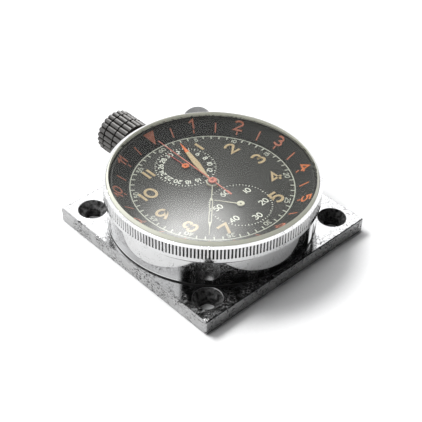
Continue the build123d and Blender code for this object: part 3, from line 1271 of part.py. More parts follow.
with BuildPart() as minute_wheel:
    wheel(
        MINUTE_WHEEL_TEETH,
        MOTION_MODULE,
        CANNON_TEETH_Z,
        MINUTE_WHEEL_CENTRE,
        meshed_tooth(MINUTE_WHEEL_TEETH, centre_to_minute + 180),
    )
    wheel(
        MINUTE_PINION_TEETH,
        HOUR_MODULE,
        (CANNON_TEETH_Z[1], HOUR_TEETH_Z[1]),
        MINUTE_WHEEL_CENTRE,
        centre_to_minute + 180,
    )
    minute_levels = (CANNON_TEETH_Z[0], HOUR_TEETH_Z[1])
    disc(MINUTE_POST_RADIUS + RUNNING_GAP, minute_levels, MINUTE_WHEEL_CENTRE, Mode.SUBTRACT)
minute_wheel.part.label = "minute_wheel"
export_step(minute_wheel.part, "parts/minute_wheel.step")

with BuildPart() as hour_wheel:
    wheel(
        HOUR_WHEEL_TEETH,
        HOUR_MODULE,
        HOUR_TEETH_Z,
        CENTRE,
        meshed_tooth(HOUR_WHEEL_TEETH, centre_to_minute),
    )
    disc(HOUR_PIPE_RADII[1], (HOUR_TEETH_Z[0], HOUR_PIPE_TOP))
    disc(HOUR_PIPE_RADII[0], (HOUR_TEETH_Z[0], HOUR_PIPE_TOP), mode=Mode.SUBTRACT)
hour_wheel.part.label = "hour_wheel"
export_step(hour_wheel.part, "parts/hour_wheel.step")

# ------------------------------------------------------------------ hands
with BuildPart() as hour_hand:
    hand_blade(HOUR_BEARING, HOUR_HAND_Z, HOUR_BLADE)
    disc(HOUR_PIPE_RADII[1] + HOUR_HUB_WALL, HOUR_HAND_Z)
    disc(HOUR_PIPE_RADII[1], HOUR_HAND_Z, mode=Mode.SUBTRACT)
hour_hand.part.label = "hour_hand"
export_step(hour_hand.part, "parts/hour_hand.step")

with BuildPart() as minute_hand:
    hand_blade(MINUTE_BEARING, MINUTE_HAND_Z, MINUTE_BLADE, window=MINUTE_WINDOW)
    hand_blade(MINUTE_BEARING, MINUTE_HAND_Z, MINUTE_CROSSBAR)
    disc(CANNON_RADIUS + MINUTE_HUB_WALL, MINUTE_HAND_Z)
    disc(CANNON_RADIUS, MINUTE_HAND_Z, mode=Mode.SUBTRACT)
minute_hand.part.label = "minute_hand"
export_step(minute_hand.part, "parts/minute_hand.step")

with BuildPart() as chronograph_hand:
    hand_blade(CHRONO_BEARING, CHRONO_HAND_Z, CHRONO_BLADE)
    hand_blade(CHRONO_BEARING, CHRONO_HAND_Z, CHRONO_TAIL)
    disc(CHRONO_HUB[0], CHRONO_HUB[1:])
    chamfer(chronograph_hand.faces().sort_by(Axis.Z)[-1].edges(), CHRONO_HUB_BREAK)
    disc(CHRONO_HUB_SINK, (CHRONO_HAND_Z[1], CHRONO_HUB[2]), mode=Mode.SUBTRACT)
    disc(CHRONO_ARBOR_RADIUS, (CHRONO_HUB[1], CHRONO_ARBOR_Z[1]), mode=Mode.SUBTRACT)
chronograph_hand.part.label = "chronograph_hand"
export_step(chronograph_hand.part, "parts/chronograph_hand.step")

with BuildPart() as seconds_hand:
    hand_blade(SECONDS_BEARING, SMALL_HAND_Z, SECONDS_BLADE, SECONDS_CENTRE)
    small_hub(SECONDS_CENTRE)
seconds_hand.part.label = "seconds_hand"
export_step(seconds_hand.part, "parts/seconds_hand.step")

with BuildPart() as counter_hand:
    hand_blade(COUNTER_BEARING, SMALL_HAND_Z, COUNTER_BLADE, COUNTER_CENTRE)
    small_hub(COUNTER_CENTRE)
counter_hand.part.label = "counter_hand"
export_step(counter_hand.part, "parts/counter_hand.step")


# ------------------------------------------------------------------ chronograph work
def heart_cam(centre, bearing):
    """A heart-shaped reset cam on an arbor."""
    steps = 24
    heart = [
        toward(
            bearing + 360 * i / steps,
            HEART_RADII[0] + (HEART_RADII[1] - HEART_RADII[0]) * abs(i - steps / 2) / (steps / 2),
            centre,
        )
        for i in range(steps)
    ]
    with BuildSketch(Plane.XY.offset(HEART_Z[0])) as cam:
        with BuildLine():
            Polyline(*heart, close=True)
        make_face()
    extrude(cam.sketch, amount=HEART_Z[1] - HEART_Z[0])


with BuildPart() as chronograph_wheel:
    wheel(CHRONO_TEETH, CHRONO_MODULE, CHRONO_WHEEL_Z, CENTRE, 0, spokes=2)
    heart_cam(CENTRE, 270)
    finger_tip = toward(FINGER_BEARING, FINGER_LENGTH)
    hull_plate(((*CENTRE, CHRONO_HUB_RADIUS), (*finger_tip, FINGER_TIP_RADIUS)), RECORDER_Z)
    disc(CHRONO_HUB_RADIUS, (HEART_Z[0], RECORDER_Z[1]))
    disc(CHRONO_ARBOR_RADIUS, CHRONO_ARBOR_Z)
    disc(PIVOT_RADIUS, (CHRONO_ARBOR_Z[0] - PIVOT_LENGTH, CHRONO_ARBOR_Z[0]))
chronograph_wheel.part.label = "chronograph_wheel"
export_step(chronograph_wheel.part, "parts/chronograph_wheel.step")

driving_to_coupling = angle_between(SECONDS_CENTRE, COUPLING_CENTRE)

with BuildPart() as driving_wheel:
    wheel(CHRONO_TEETH, CHRONO_MODULE, CHRONO_WHEEL_Z, SECONDS_CENTRE, driving_to_coupling, spokes=2)
    disc(CHRONO_HUB_RADIUS, (FOURTH_ARBOR_Z[0], BRIDGE_Z[0] - 2 * FACE_GAP), SECONDS_CENTRE)
    disc(FOURTH_ARBOR_RADIUS, (FOURTH_ARBOR_Z[0], BRIDGE_Z[0]), SECONDS_CENTRE, Mode.SUBTRACT)
driving_wheel.part.label = "driving_wheel"
export_step(driving_wheel.part, "parts/driving_wheel.step")

with BuildPart() as coupling_wheel:
    wheel(
        COUPLING_TEETH,
        CHRONO_MODULE,
        CHRONO_WHEEL_Z,
        COUPLING_CENTRE,
        meshed_tooth(COUPLING_TEETH, driving_to_coupling + 180),
    )
    hub_levels = (COUPLING_LEVER_Z[1] + FACE_GAP, COUPLING_POST[1] - FACE_GAP)
    disc(COUPLING_POST[0] + COUPLING_HUB_WALL, hub_levels, COUPLING_CENTRE)
    disc(COUPLING_POST[0] + RUNNING_GAP, hub_levels, COUPLING_CENTRE, Mode.SUBTRACT)
coupling_wheel.part.label = "coupling_wheel"
export_step(coupling_wheel.part, "parts/coupling_wheel.step")

with BuildPart() as coupling_lever:
    hull_plate(
        ((*COUPLING_PIVOT, LEVER_HUB_RADIUS), (*COUPLING_CENTRE, COUPLING_END_RADIUS)),
        COUPLING_LEVER_Z,
    )
    disc(COUPLING_POST[0], (COUPLING_LEVER_Z[0], COUPLING_POST[1]), COUPLING_CENTRE)
    disc(POST_RADIUS + RUNNING_GAP, COUPLING_LEVER_Z, COUPLING_PIVOT, Mode.SUBTRACT)
coupling_lever.part.label = "coupling_lever"
export_step(coupling_lever.part, "parts/coupling_lever.step")

intermediate_to_recorder = angle_between(INTERMEDIATE_CENTRE, COUNTER_CENTRE)

with BuildPart() as intermediate_wheel:
    wheel(
        INTERMEDIATE_TEETH,
        RECORDER_MODULE,
        RECORDER_Z,
        INTERMEDIATE_CENTRE,
        intermediate_to_recorder,
    )
    pivoted_arbor(
        INTERMEDIATE_CENTRE, CHRONO_ARBOR_RADIUS, (CHRONO_ARBOR_Z[0], BRIDGE_Z[0] - SLIDE_GAP)
    )
intermediate_wheel.part.label = "intermediate_wheel"
export_step(intermediate_wheel.part, "parts/intermediate_wheel.step")

with BuildPart() as minute_recorder:
    wheel(
        RECORDER_TEETH,
        RECORDER_MODULE,
        RECORDER_Z,
        COUNTER_CENTRE,
        meshed_tooth(RECORDER_TEETH, intermediate_to_recorder + 180),
    )
    heart_cam(COUNTER_CENTRE, 270)
    disc(FOURTH_ARBOR_RADIUS, RECORDER_ARBOR_Z, COUNTER_CENTRE)
    disc(PIVOT_RADIUS, (RECORDER_ARBOR_Z[0] - PIVOT_LENGTH, RECORDER_ARBOR_Z[0]), COUNTER_CENTRE)
minute_recorder.part.label = "minute_recorder"
export_step(minute_recorder.part, "parts/minute_recorder.step")

with BuildPart() as column_wheel:
    with BuildSketch(Plane.XY.offset(COLUMN_RATCHET_Z[0])) as ratchet_outline:
        column_step = 360 / COLUMN_TEETH
        with BuildLine():
            Polyline(
                *[
                    polar((tooth + share) * column_step, radius, COLUMN_CENTRE)
                    for tooth in range(COLUMN_TEETH)
                    for share, radius in COLUMN_TOOTH
                ],
                close=True,
            )
        make_face()
    extrude(amount=COLUMN_RATCHET_Z[1] - COLUMN_RATCHET_Z[0])
    for column in range(COLUMN_COUNT):
        spot = polar(column * 360 / COLUMN_COUNT, COLUMN[1], COLUMN_CENTRE)
        disc(COLUMN[0], (COLUMN[2], COLUMN_RATCHET_Z[0]), spot)
    disc(POST_RADIUS + RUNNING_GAP, (COLUMN[2], COLUMN_RATCHET_Z[1]), COLUMN_CENTRE, Mode.SUBTRACT)
column_wheel.part.label = "column_wheel"
export_step(column_wheel.part, "parts/column_wheel.step")

with BuildPart() as operating_lever:
    for end in ((*LUG_CENTRE, LUG_RADIUS), OPERATING_PAWL):
        hull_plate(((*OPERATING_PIVOT, LEVER_HUB_RADIUS), end), OPERATING_LEVER_Z)
    disc(LUG_RADIUS, (OPERATING_LEVER_Z[0], LUG_TOP), LUG_CENTRE)
    disc(POST_RADIUS + RUNNING_GAP, OPERATING_LEVER_Z, OPERATING_PIVOT, Mode.SUBTRACT)
operating_lever.part.label = "operating_lever"
export_step(operating_lever.part, "parts/operating_lever.step")

with BuildPart() as reset_hammer:
    with BuildSketch(Plane.XY.offset(HAMMER_Z[0])) as hammer_outline:
        with BuildLine():
            Polyline(*HAMMER_OUTLINE, close=True)
        make_face()
        with Locations(HAMMER_PIVOT):
            Circle(HAMMER_HUB_RADIUS)
            Circle(POST_RADIUS + RUNNING_GAP, mode=Mode.SUBTRACT)
    extrude(amount=HAMMER_Z[1] - HAMMER_Z[0])
reset_hammer.part.label = "reset_hammer"
export_step(reset_hammer.part, "parts/reset_hammer.step")
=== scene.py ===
import math

import bmesh
import bpy
from mathutils import Matrix, Vector


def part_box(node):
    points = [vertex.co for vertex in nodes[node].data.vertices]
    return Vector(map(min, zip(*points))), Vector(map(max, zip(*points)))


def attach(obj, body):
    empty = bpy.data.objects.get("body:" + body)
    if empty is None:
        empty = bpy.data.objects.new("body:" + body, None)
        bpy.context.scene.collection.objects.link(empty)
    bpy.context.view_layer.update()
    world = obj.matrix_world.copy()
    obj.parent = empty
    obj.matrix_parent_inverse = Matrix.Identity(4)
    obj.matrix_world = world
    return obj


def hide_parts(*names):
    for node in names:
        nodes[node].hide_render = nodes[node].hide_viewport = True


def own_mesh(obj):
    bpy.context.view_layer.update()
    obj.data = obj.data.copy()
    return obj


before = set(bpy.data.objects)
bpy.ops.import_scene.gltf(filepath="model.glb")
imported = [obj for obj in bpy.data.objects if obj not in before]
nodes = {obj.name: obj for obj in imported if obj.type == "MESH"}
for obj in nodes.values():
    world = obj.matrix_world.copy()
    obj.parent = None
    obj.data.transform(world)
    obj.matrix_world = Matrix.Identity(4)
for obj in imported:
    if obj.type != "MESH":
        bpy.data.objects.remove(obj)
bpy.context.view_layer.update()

# Lengths below are millimetres unless a name says otherwise; MM turns them into Blender's metres.
# A bearing is an angle in degrees, clockwise of twelve o'clock as the dial is read.
MM = 0.001

# ------------------------------------------------------------------ places on the object
DIAL_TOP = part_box("dial")[1].z / MM
RING_LOW_EDGE = (23.4, 14.91)
RING_HIGH_EDGE = (27.75, 17.88)
RING_SLOPE = (RING_HIGH_EDGE[1] - RING_LOW_EDGE[1]) / (RING_HIGH_EDGE[0] - RING_LOW_EDGE[0])
RING_STRETCH = math.hypot(1, RING_SLOPE)
SUBDIAL_OFFSET = 11.2
SUBDIAL_SINK = 0.1
STEM_HEIGHT = 10.2
CROWN_RADIUS = 6.7
PRINT_DEPTH = 0.02
PRINT_RISE = 0.03
LUME_RISE = 0.12


# ------------------------------------------------------------------ flat marks
def arc(centre, radii, start, end, steps=16):
    """Points along an ellipse, from one angle to another, counter-clockwise from the right."""
    points = []
    for i in range(steps + 1):
        angle = math.radians(start + (end - start) * i / steps)
        points.append((centre[0] + radii[0] * math.cos(angle), centre[1] + radii[1] * math.sin(angle)))
    return points


def turned_half(strokes):
    """Strokes turned by half a turn about the middle of the figure."""
    return [([(-u, -v) for u, v in points], closed) for points, closed in strokes]


# Each figure is a list of strokes: the points of its line in a cell one high, and whether it closes.
SIX_BOWL = ((0, -0.2), (0.27, 0.3))
SIX = [
    ([(0.2, 0.5), (0.02, 0.36), (-0.14, 0.18), (-0.24, 0.0), *arc(*SIX_BOWL, 170, 190, 4)], False),
    (arc(*SIX_BOWL, 0, 360, 24)[:-1], True),
]
THREE_LOWER = arc((-0.02, -0.23), (0.28, 0.27), 80, -150)
FIVE_BOWL = arc((0.0, -0.18), (0.28, 0.32), 130, -145)
FIGURES = {
    "0": [(arc((0, 0), (0.28, 0.5), 0, 360, 28)[:-1], True)],
    "1": [([(0.0, 0.5), (0.0, -0.5)], False)],
    "2": [([*arc((0, 0.23), (0.26, 0.27), 165, -30), (-0.27, -0.5), (0.3, -0.5)], False)],
    "3": [([*arc((-0.02, 0.26), (0.24, 0.24), 145, -80), *THREE_LOWER], False)],
    "4": [([(0.13, -0.5), (0.13, 0.5), (-0.3, -0.2), (0.34, -0.2)], False)],
    "5": [([(0.26, 0.5), (-0.18, 0.5), (-0.22, 0.03), *FIVE_BOWL], False)],
    "6": SIX,
    "7": [([(-0.28, 0.5), (0.28, 0.5), (-0.06, -0.5)], False)],
    "8": [
        (arc((0, 0.25), (0.22, 0.25), 0, 360, 20)[:-1], True),
        (arc((0, -0.25), (0.28, 0.25), 0, 360, 20)[:-1], True),
    ],
    "9": turned_half(SIX),
}
FLAGGED_ONE = [([(-0.22, 0.2), (0.04, 0.5), (0.04, -0.5)], False)]
FIGURE_WIDTHS = {"1": 0.3}
FIGURE_WIDTH = 0.76
MITRE_LIMIT = 0.5


def ribbon(points, width, closed):
    """Rows of left and right points along a line, joined with mitres."""
    rows = []
    count = len(points)
    for i, (u, v) in enumerate(points):
        before = points[i - 1] if closed or i else points[i]
        after = points[(i + 1) % count] if closed or i < count - 1 else points[i]
        ins, outs = (Vector((u, v)) - Vector(before)), (Vector(after) - Vector((u, v)))
        ins = ins.normalized() if ins.length else outs.normalized()
        outs = outs.normalized() if outs.length else ins
        along = (ins + outs).normalized() if (ins + outs).length > MITRE_LIMIT / 2 else outs
        reach = width / 2 / max(MITRE_LIMIT, along.dot(outs))
        across = Vector((-along.y, along.x)) * reach
        rows.append([(u + across.x, v + across.y), (u - across.x, v - across.y)])
    return rows


def add_patch(mesh, rows, place, low, high, closed=False):
    """A thin solid over a grid of flat points, which place puts on the object."""
    top = [[mesh.verts.new(place(u, v, high)) for u, v in row] for row in rows]
    base = [[mesh.verts.new(place(u, v, low)) for u, v in row] for row in rows]
    count, wide = len(rows), len(rows[0])
    last = count if closed else count - 1
    for i in range(last):
        j = (i + 1) % count
        for k in range(wide - 1):
            mesh.faces.new((top[i][k], top[i][k + 1], top[j][k + 1], top[j][k]))
            mesh.faces.new((base[i][k + 1], base[i][k], base[j][k], base[j][k + 1]))
        mesh.faces.new((top[i][0], top[j][0], base[j][0], base[i][0]))
        mesh.faces.new((top[j][-1], top[i][-1], base[i][-1], base[j][-1]))
    if not closed:
        for i in (0, count - 1):
            for k in range(wide - 1):
                mesh.faces.new((top[i][k + 1], top[i][k], base[i][k], base[i][k + 1]))


def add_line(mesh, points, width, place, high, closed=False):
    add_patch(mesh, ribbon(points, width, closed), place, -PRINT_DEPTH, high, closed)


def add_number(mesh, text, height, width, place, high, flagged=False, broad=1.0):
    """A number centred on its place, with strokes of one width and figures broader by a factor."""
    widths = [FIGURE_WIDTHS.get(figure, FIGURE_WIDTH) * height * broad for figure in text]
    start = -sum(widths) / 2
    for figure, wide in zip(text, widths):
        middle = start + wide / 2
        strokes = FLAGGED_ONE if flagged and figure == "1" else FIGURES[figure]
        for points, closed in strokes:
            placed = [(middle + u * height * broad, v * (height - width)) for u, v in points]
            add_line(mesh, placed, width, place, high, closed)
        start += wide


def toward(bearing, reach, centre=(0.0, 0.0)):
    angle = math.radians(bearing)
    return centre[0] + reach * math.sin(angle), centre[1] + reach * math.cos(angle)


def on_dial(centre, turn=0.0, level=DIAL_TOP):
    """Places marks about a point of the dial, their tops at a bearing."""
    c, s = math.cos(math.radians(turn)), math.sin(math.radians(turn))

    def place(u, v, rise):
        return Vector((centre[0] + u * c + v * s, centre[1] - u * s + v * c, level + rise)) * MM

    return place


def on_ring(bearing, middle):
    """Places marks on the sloping ring about a bearing and radius, their tops outward."""

    def place(u, v, rise):
        reach = middle + v / RING_STRETCH
        x, y = toward(bearing + math.degrees(u / reach), reach)
        return Vector((x, y, RING_LOW_EDGE[1] + RING_SLOPE * (reach - RING_LOW_EDGE[0]) + rise)) * MM

    return place


def piece_from(mesh, name, body, material):
    """The finished mesh as a piece that rides on a body and wears a material."""
    data = bpy.data.meshes.new(name)
    bmesh.ops.recalc_face_normals(mesh, faces=mesh.faces)
    mesh.to_mesh(data)
    mesh.free()
    data.materials.append(material)
    piece = bpy.data.objects.new(name, data)
    bpy.context.scene.collection.objects.link(piece)
    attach(piece, body)
    return piece


# ------------------------------------------------------------------ materials
def add_node(tree, kind, inputs, **settings):
    """A new node with its settings, and its inputs linked to sockets or set to values."""
    node = tree.nodes.new(kind)
    for key, value in settings.items():
        setattr(node, key, value)
    for key, value in inputs.items():
        if isinstance(value, bpy.types.NodeSocket):
            tree.links.new(value, node.inputs[key])
        else:
            node.inputs[key].default_value = value
    return node


class Look:
    """A Principled material and the nodes that drive it, with patterns in millimetres."""

    def __init__(self, name):
        self.material = bpy.data.materials.new(name)
        self.material.use_nodes = True
        self.tree = self.material.node_tree
        self.shader = next(n for n in self.tree.nodes if n.type == "BSDF_PRINCIPLED")
        place = self.tree.nodes.new("ShaderNodeTexCoord")
        inputs = {0: place.outputs["Object"], "Scale": 1 / MM}
        scale = self.add("ShaderNodeVectorMath", inputs, operation="SCALE")
        self.mm = scale.outputs[0]

    def add(self, kind, inputs, **settings):
        return add_node(self.tree, kind, inputs, **settings)

    def noise(self, scale, detail=3.0, roughness=0.55, vector=None):
        inputs = {"Vector": vector or self.mm, "Scale": scale, "Detail": detail, "Roughness": roughness}
        return self.add("ShaderNodeTexNoise", inputs).outputs[0]

    def stretched(self, scale):
        return self.add("ShaderNodeVectorMath", {0: self.mm, 1: scale}, operation="MULTIPLY").outputs[0]

    def span(self, value, low, high, start=0.0, end=1.0):
        """A smooth step from start to end as value goes from low to high."""
        inputs = {0: value, 1: low, 2: high, 3: start, 4: end}
        return self.add("ShaderNodeMapRange", inputs, interpolation_type="SMOOTHSTEP").outputs[0]

    def calc(self, operation, first, second):
        return self.add("ShaderNodeMath", {0: first, 1: second}, operation=operation).outputs[0]

    def mix(self, factor, first, second):
        inputs = {0: factor, 6: first, 7: second}
        return self.add("ShaderNodeMix", inputs, data_type="RGBA").outputs[2]

    def axes(self, vector=None):
        return self.add("ShaderNodeSeparateXYZ", {0: vector or self.mm}).outputs

    def radius(self, centre=(0.0, 0.0), plane="XY"):
        """The distance from an axis through a point of a plane."""
        x, y, z = self.axes()
        first, second = (x, y) if plane == "XY" else (x, z)
        dx, dy = self.calc("SUBTRACT", first, centre[0]), self.calc("SUBTRACT", second, centre[1])
        flat = self.add("ShaderNodeCombineXYZ", {0: dx, 1: dy})
        return self.add("ShaderNodeVectorMath", {0: flat.outputs[0]}, operation="LENGTH").outputs[1]

    def set(self, **inputs):
        for key, value in inputs.items():
            socket = self.shader.inputs[key.replace("_", " ")]
            if isinstance(value, bpy.types.NodeSocket):
                self.tree.links.new(value, socket)
            else:
                socket.default_value = value
        return self

    def bump(self, height, strength, distance=0.05):
        """Raises the surface by height, with a distance in millimetres."""
        inputs = {"Height": height, "Strength": strength, "Distance": distance * MM}
        self.set(Normal=self.add("ShaderNodeBump", inputs).outputs[0])
        return self


def grey(level, warmth=0.0):
    return (level * (1 + warmth), level, level * (1 - warmth), 1.0)


PIT_COLOUR = (0.004, 0.0036, 0.0033, 1.0)
SPECK_COLOUR = (0.04, 0.038, 0.035, 1.0)
# Near black, for grime together with painted shade in hollows, crevices and under parts.
GRIME_AND_SHADE_COLOUR = (0.005, 0.0045, 0.004, 1.0)
# Near black painted shade for the arbor tips sunk in the hands' hub holes.
TIP_SHADE_COLOUR = (0.02, 0.018, 0.016, 1.0)
PLATING = 0.64
BUTTON_PLATING = 0.15
PLATING_SHEEN = 0.08
HAIRLINE_STRETCH = (0.4, 7.0, 7.0)
WEAR_STREAK_STRETCH = (0.5, 0.5, 6.0)
PIT_STRETCH = (1.25, 1.25, 2.4)
WORN_SHARE = 0.22
DULL_MATT = 0.95
DULL_ROUGHNESS = 0.42


def plated(name, wear=None, grime_and_shade=None, level=PLATING):
    """Worn bright plating: clouds, hairlines and dull specks, pitted where wear is high, and darkened where
    a mask of grime and painted shade is high.
    """
    look = Look(name)
    cloud = look.noise(0.16, 3.0)
    hairline = look.noise(1.0, 4.0, 0.6, look.stretched(HAIRLINE_STRETCH))
    colour = look.mix(cloud, grey(level * 0.86, 0.004), grey(level * 1.12, -0.006))
    patch = look.span(look.noise(0.22, 2.0), 0.44, 0.6)
    specks = look.calc("MULTIPLY", look.span(look.noise(4.6, 2.0), 0.6, 0.68), patch)
    colour = look.mix(specks, colour, SPECK_COLOUR)
    dull = specks
    if wear is not None:
        cluster = look.span(look.noise(0.21, 2.0), 0.36, 0.56)
        streak = look.noise(1.0, 3.0, 0.6, look.stretched(WEAR_STREAK_STRETCH))
        streaky = look.span(streak, 0.25, 0.75, 0.25, 0.65)
        dim = look.calc("MULTIPLY", look.span(wear(look), 0.7, 1.0), streaky)
        colour = look.mix(dim, colour, grey(level * WORN_SHARE))
        grain = look.noise(1.0, 5.0, 0.72, look.stretched(PIT_STRETCH))
        clustered = look.calc("MULTIPLY", look.span(grain, 0.52, 0.575), cluster)
        pits = look.calc("MULTIPLY", clustered, wear(look))
        colour = look.mix(pits, colour, PIT_COLOUR)
        dull = look.calc("MAXIMUM", dull, pits)
    # Grime and painted shade: where the mask is high the plating turns near black, dull and rough.
    if grime_and_shade is not None:
        grime_and_shade_mask = grime_and_shade(look)
        colour = look.mix(grime_and_shade_mask, colour, GRIME_AND_SHADE_COLOUR)
        dull = look.calc("MAXIMUM", dull, grime_and_shade_mask)
    rough = look.span(cloud, 0.35, 0.7, 0.05, 0.13)
    height = look.calc("SUBTRACT", look.calc("MULTIPLY", hairline, 0.14), specks)
    look.set(
        Base_Color=colour,
        Metallic=look.calc("SUBTRACT", 1.0, look.calc("MULTIPLY", dull, DULL_MATT)),
        Roughness=look.calc("ADD", rough, look.calc("MULTIPLY", dull, DULL_ROUGHNESS)),
        Specular_IOR_Level=PLATING_SHEEN,
    )
    return look.bump(height, 0.35, 0.03).material


PLATE_HALF = 30.3
EDGE_WEAR = 1.3
BORDER_WEAR = 6.0
CORNER_WEAR = (48.0, 59.0)
HOLE_OFFSET = 24.0
SINK_RADIUS = 4.15


def plate_wear(look):
    """High on the sides of the square plate and close to its edges and corners."""
    sides = look.axes(look.add("ShaderNodeVectorMath", {0: look.mm}, operation="ABSOLUTE").outputs[0])
    out = look.calc("MAXIMUM", sides[0], sides[1])
    corner = look.span(look.calc("ADD", sides[0], sides[1]), *CORNER_WEAR, 0.0, 0.5)
    border = look.span(out, PLATE_HALF - BORDER_WEAR, PLATE_HALF - EDGE_WEAR, 0.0, 0.6)
    edge = look.span(out, PLATE_HALF - EDGE_WEAR, PLATE_HALF - 0.1)
    return look.calc("MAXIMUM", look.calc("MAXIMUM", border, edge), corner)


def plate_grime(look):
    """Grime and painted shade, high inside the countersinks of the corner holes."""
    sides = look.add("ShaderNodeVectorMath", {0: look.mm}, operation="ABSOLUTE").outputs[0]
    inputs = {0: sides, 1: (HOLE_OFFSET, HOLE_OFFSET, 0.0)}
    middle = look.add("ShaderNodeVectorMath", inputs, operation="SUBTRACT")
    x, y, _ = look.axes(middle.outputs[0])
    flat = look.add("ShaderNodeCombineXYZ", {0: x, 1: y})
    reach = look.add("ShaderNodeVectorMath", {0: flat.outputs[0]}, operation="LENGTH").outputs[1]
    blotchy = look.span(look.noise(0.9, 4.0), 0.3, 0.65, 0.75, 0.99)
    return look.calc("MULTIPLY", look.span(reach, SINK_RADIUS + 0.05, SINK_RADIUS - 0.2), blotchy)


KNURL_LEVELS = (14.85, 18.12)
KNURL_ROOT = 30.0
KNURL_TIP = 30.36
SEAT_RADIUS = 29.42


def knurl_grime(look):
    """Grime and painted shade, high at the bottoms of the milling round the bezel and inside it, where the
    crystal sits.
    """
    level = look.axes()[2]
    above = look.span(level, KNURL_LEVELS[0] - 0.05, KNURL_LEVELS[0] + 0.1)
    below = look.span(level, KNURL_LEVELS[1] + 0.02, KNURL_LEVELS[1] - 0.1)
    deep = look.span(look.radius(), KNURL_TIP, KNURL_ROOT + 0.08)
    milling = look.calc("MULTIPLY", look.calc("MULTIPLY", above, below), deep)
    seat = look.span(look.radius(), SEAT_RADIUS + 0.02, SEAT_RADIUS - 0.02)
    return look.calc("MULTIPLY", look.calc("MAXIMUM", milling, seat), DEEPEST_GRIME_AND_SHADE)


# The darkest that the masks of grime and painted shade reach.
DEEPEST_GRIME_AND_SHADE = 0.95
FOOT_RADIUS = 29.55
FOOT_TOP = 5.1
BEZEL_SHADE = (11.75, 12.05)


def band_grime(look):
    """Painted shade, high under the bezel and on the low wall where the case meets the plate."""
    level = look.axes()[2]
    under_bezel = look.span(level, *BEZEL_SHADE)
    outside = look.span(look.radius(), FOOT_RADIUS - 0.06, FOOT_RADIUS - 0.02)
    low = look.span(level, FOOT_TOP - 0.1, FOOT_TOP - 0.16)
    wall = look.calc("MULTIPLY", outside, low)
    return look.calc("MULTIPLY", look.calc("MAXIMUM", under_bezel, wall), DEEPEST_GRIME_AND_SHADE)


EVEN_GRAIN = (6.0, 6.0, 6.0)
BRUSHED_GRAIN = (0.6, 12.0, 12.0)


def machined(name, colour, roughness, grain=EVEN_GRAIN, tip_level=None):
    """Plain worked metal with a fine grain. Above a level it may be painted near black, as shade."""
    look = Look(name)
    fine = look.noise(1.0, 4.0, 0.6, look.stretched(grain))
    cloud = look.noise(0.3, 2.0)
    dark = tuple(c * 0.78 for c in colour[:3]) + (1.0,)
    light = tuple(min(1.0, c * 1.12) for c in colour[:3]) + (1.0,)
    shade = look.mix(look.calc("MULTIPLY", look.calc("ADD", fine, cloud), 0.5), dark, light)
    if tip_level is not None:
        shade = look.mix(look.span(look.axes()[2], tip_level, tip_level + 0.05), shade, TIP_SHADE_COLOUR)
    look.set(
        Base_Color=shade,
        Metallic=1.0,
        Roughness=look.span(fine, 0.3, 0.7, roughness * 0.8, roughness * 1.25),
    )
    return look.bump(fine, 0.12, 0.02).material


PAINT_SHEEN = 0.2
DIAL_SHEEN = 0.12
BRIGHT_SIDE = (27.0, 38.0)


def paint(name, colour, aged, roughness=0.55, grain=1.6, tip=None, brighter=None):
    """Aged, mottled paint. It may change beyond a distance from the centre, or be brighter towards one
    side.
    """
    look = Look(name)
    mottle = look.noise(grain, 4.0, 0.65)
    shade = look.mix(look.span(mottle, 0.35, 0.68), colour, aged)
    if tip is not None:
        reach, tip_colour, tip_aged = tip
        end = look.mix(look.span(mottle, 0.35, 0.68), tip_colour, tip_aged)
        shade = look.mix(look.span(look.radius(), reach - 0.25, reach + 0.25), shade, end)
    if brighter is not None:
        x, y, _ = look.axes()
        shade = look.mix(look.span(look.calc("SUBTRACT", x, y), *BRIGHT_SIDE), shade, brighter)
    rough = look.span(mottle, 0.3, 0.7, roughness * 0.85, roughness * 1.15)
    look.set(Base_Color=shade, Roughness=rough, Specular_IOR_Level=PAINT_SHEEN)
    return look.bump(look.noise(grain * 5, 3.0), 0.25, 0.02).material


SUBDIAL_EDGE = (8.95, 8.85)
TURNING_PITCH = 30.0


def dial_paint(name):
    """Matt black with fine turned rings in the two sub-dials."""
    look = Look(name)
    cloud, fine = look.noise(0.12, 3.0), look.noise(5.0, 3.0)
    colour = look.mix(cloud, grey(0.012, 0.02), grey(0.02, 0.03))
    height = fine
    for centre in ((0.0, -SUBDIAL_OFFSET), (0.0, SUBDIAL_OFFSET)):
        reach = look.radius(centre)
        wave = look.calc("SINE", look.calc("MULTIPLY", reach, TURNING_PITCH), 0.0)
        inside = look.calc("MULTIPLY", wave, look.span(reach, *SUBDIAL_EDGE))
        height = look.calc("ADD", height, look.calc("MULTIPLY", inside, 0.35))
    rough = look.span(fine, 0.3, 0.7, 0.46, 0.58)
    look.set(Base_Color=colour, Roughness=rough, Specular_IOR_Level=DIAL_SHEEN)
    return look.bump(height, 0.12, 0.01).material


def ring_paint(name):
    """Satin charcoal, turned."""
    look = Look(name)
    cloud = look.noise(0.2, 3.0)
    turns = look.add("ShaderNodeCombineXYZ", {0: look.calc("MULTIPLY", look.radius(), 9.0)}).outputs[0]
    turning = look.noise(1.0, 3.0, 0.5, turns)
    look.set(
        Base_Color=look.mix(cloud, grey(0.014, 0.0), grey(0.024, 0.0)),
        Roughness=look.span(turning, 0.3, 0.7, 0.34, 0.46),
        Specular_IOR_Level=DIAL_SHEEN,
    )
    return look.bump(turning, 0.15, 0.01).material


CROWN_GRIME_AND_SHADE = (0.035, 0.03, 0.026, 1.0)
RIB_DEPTHS = (0.08, 0.42)


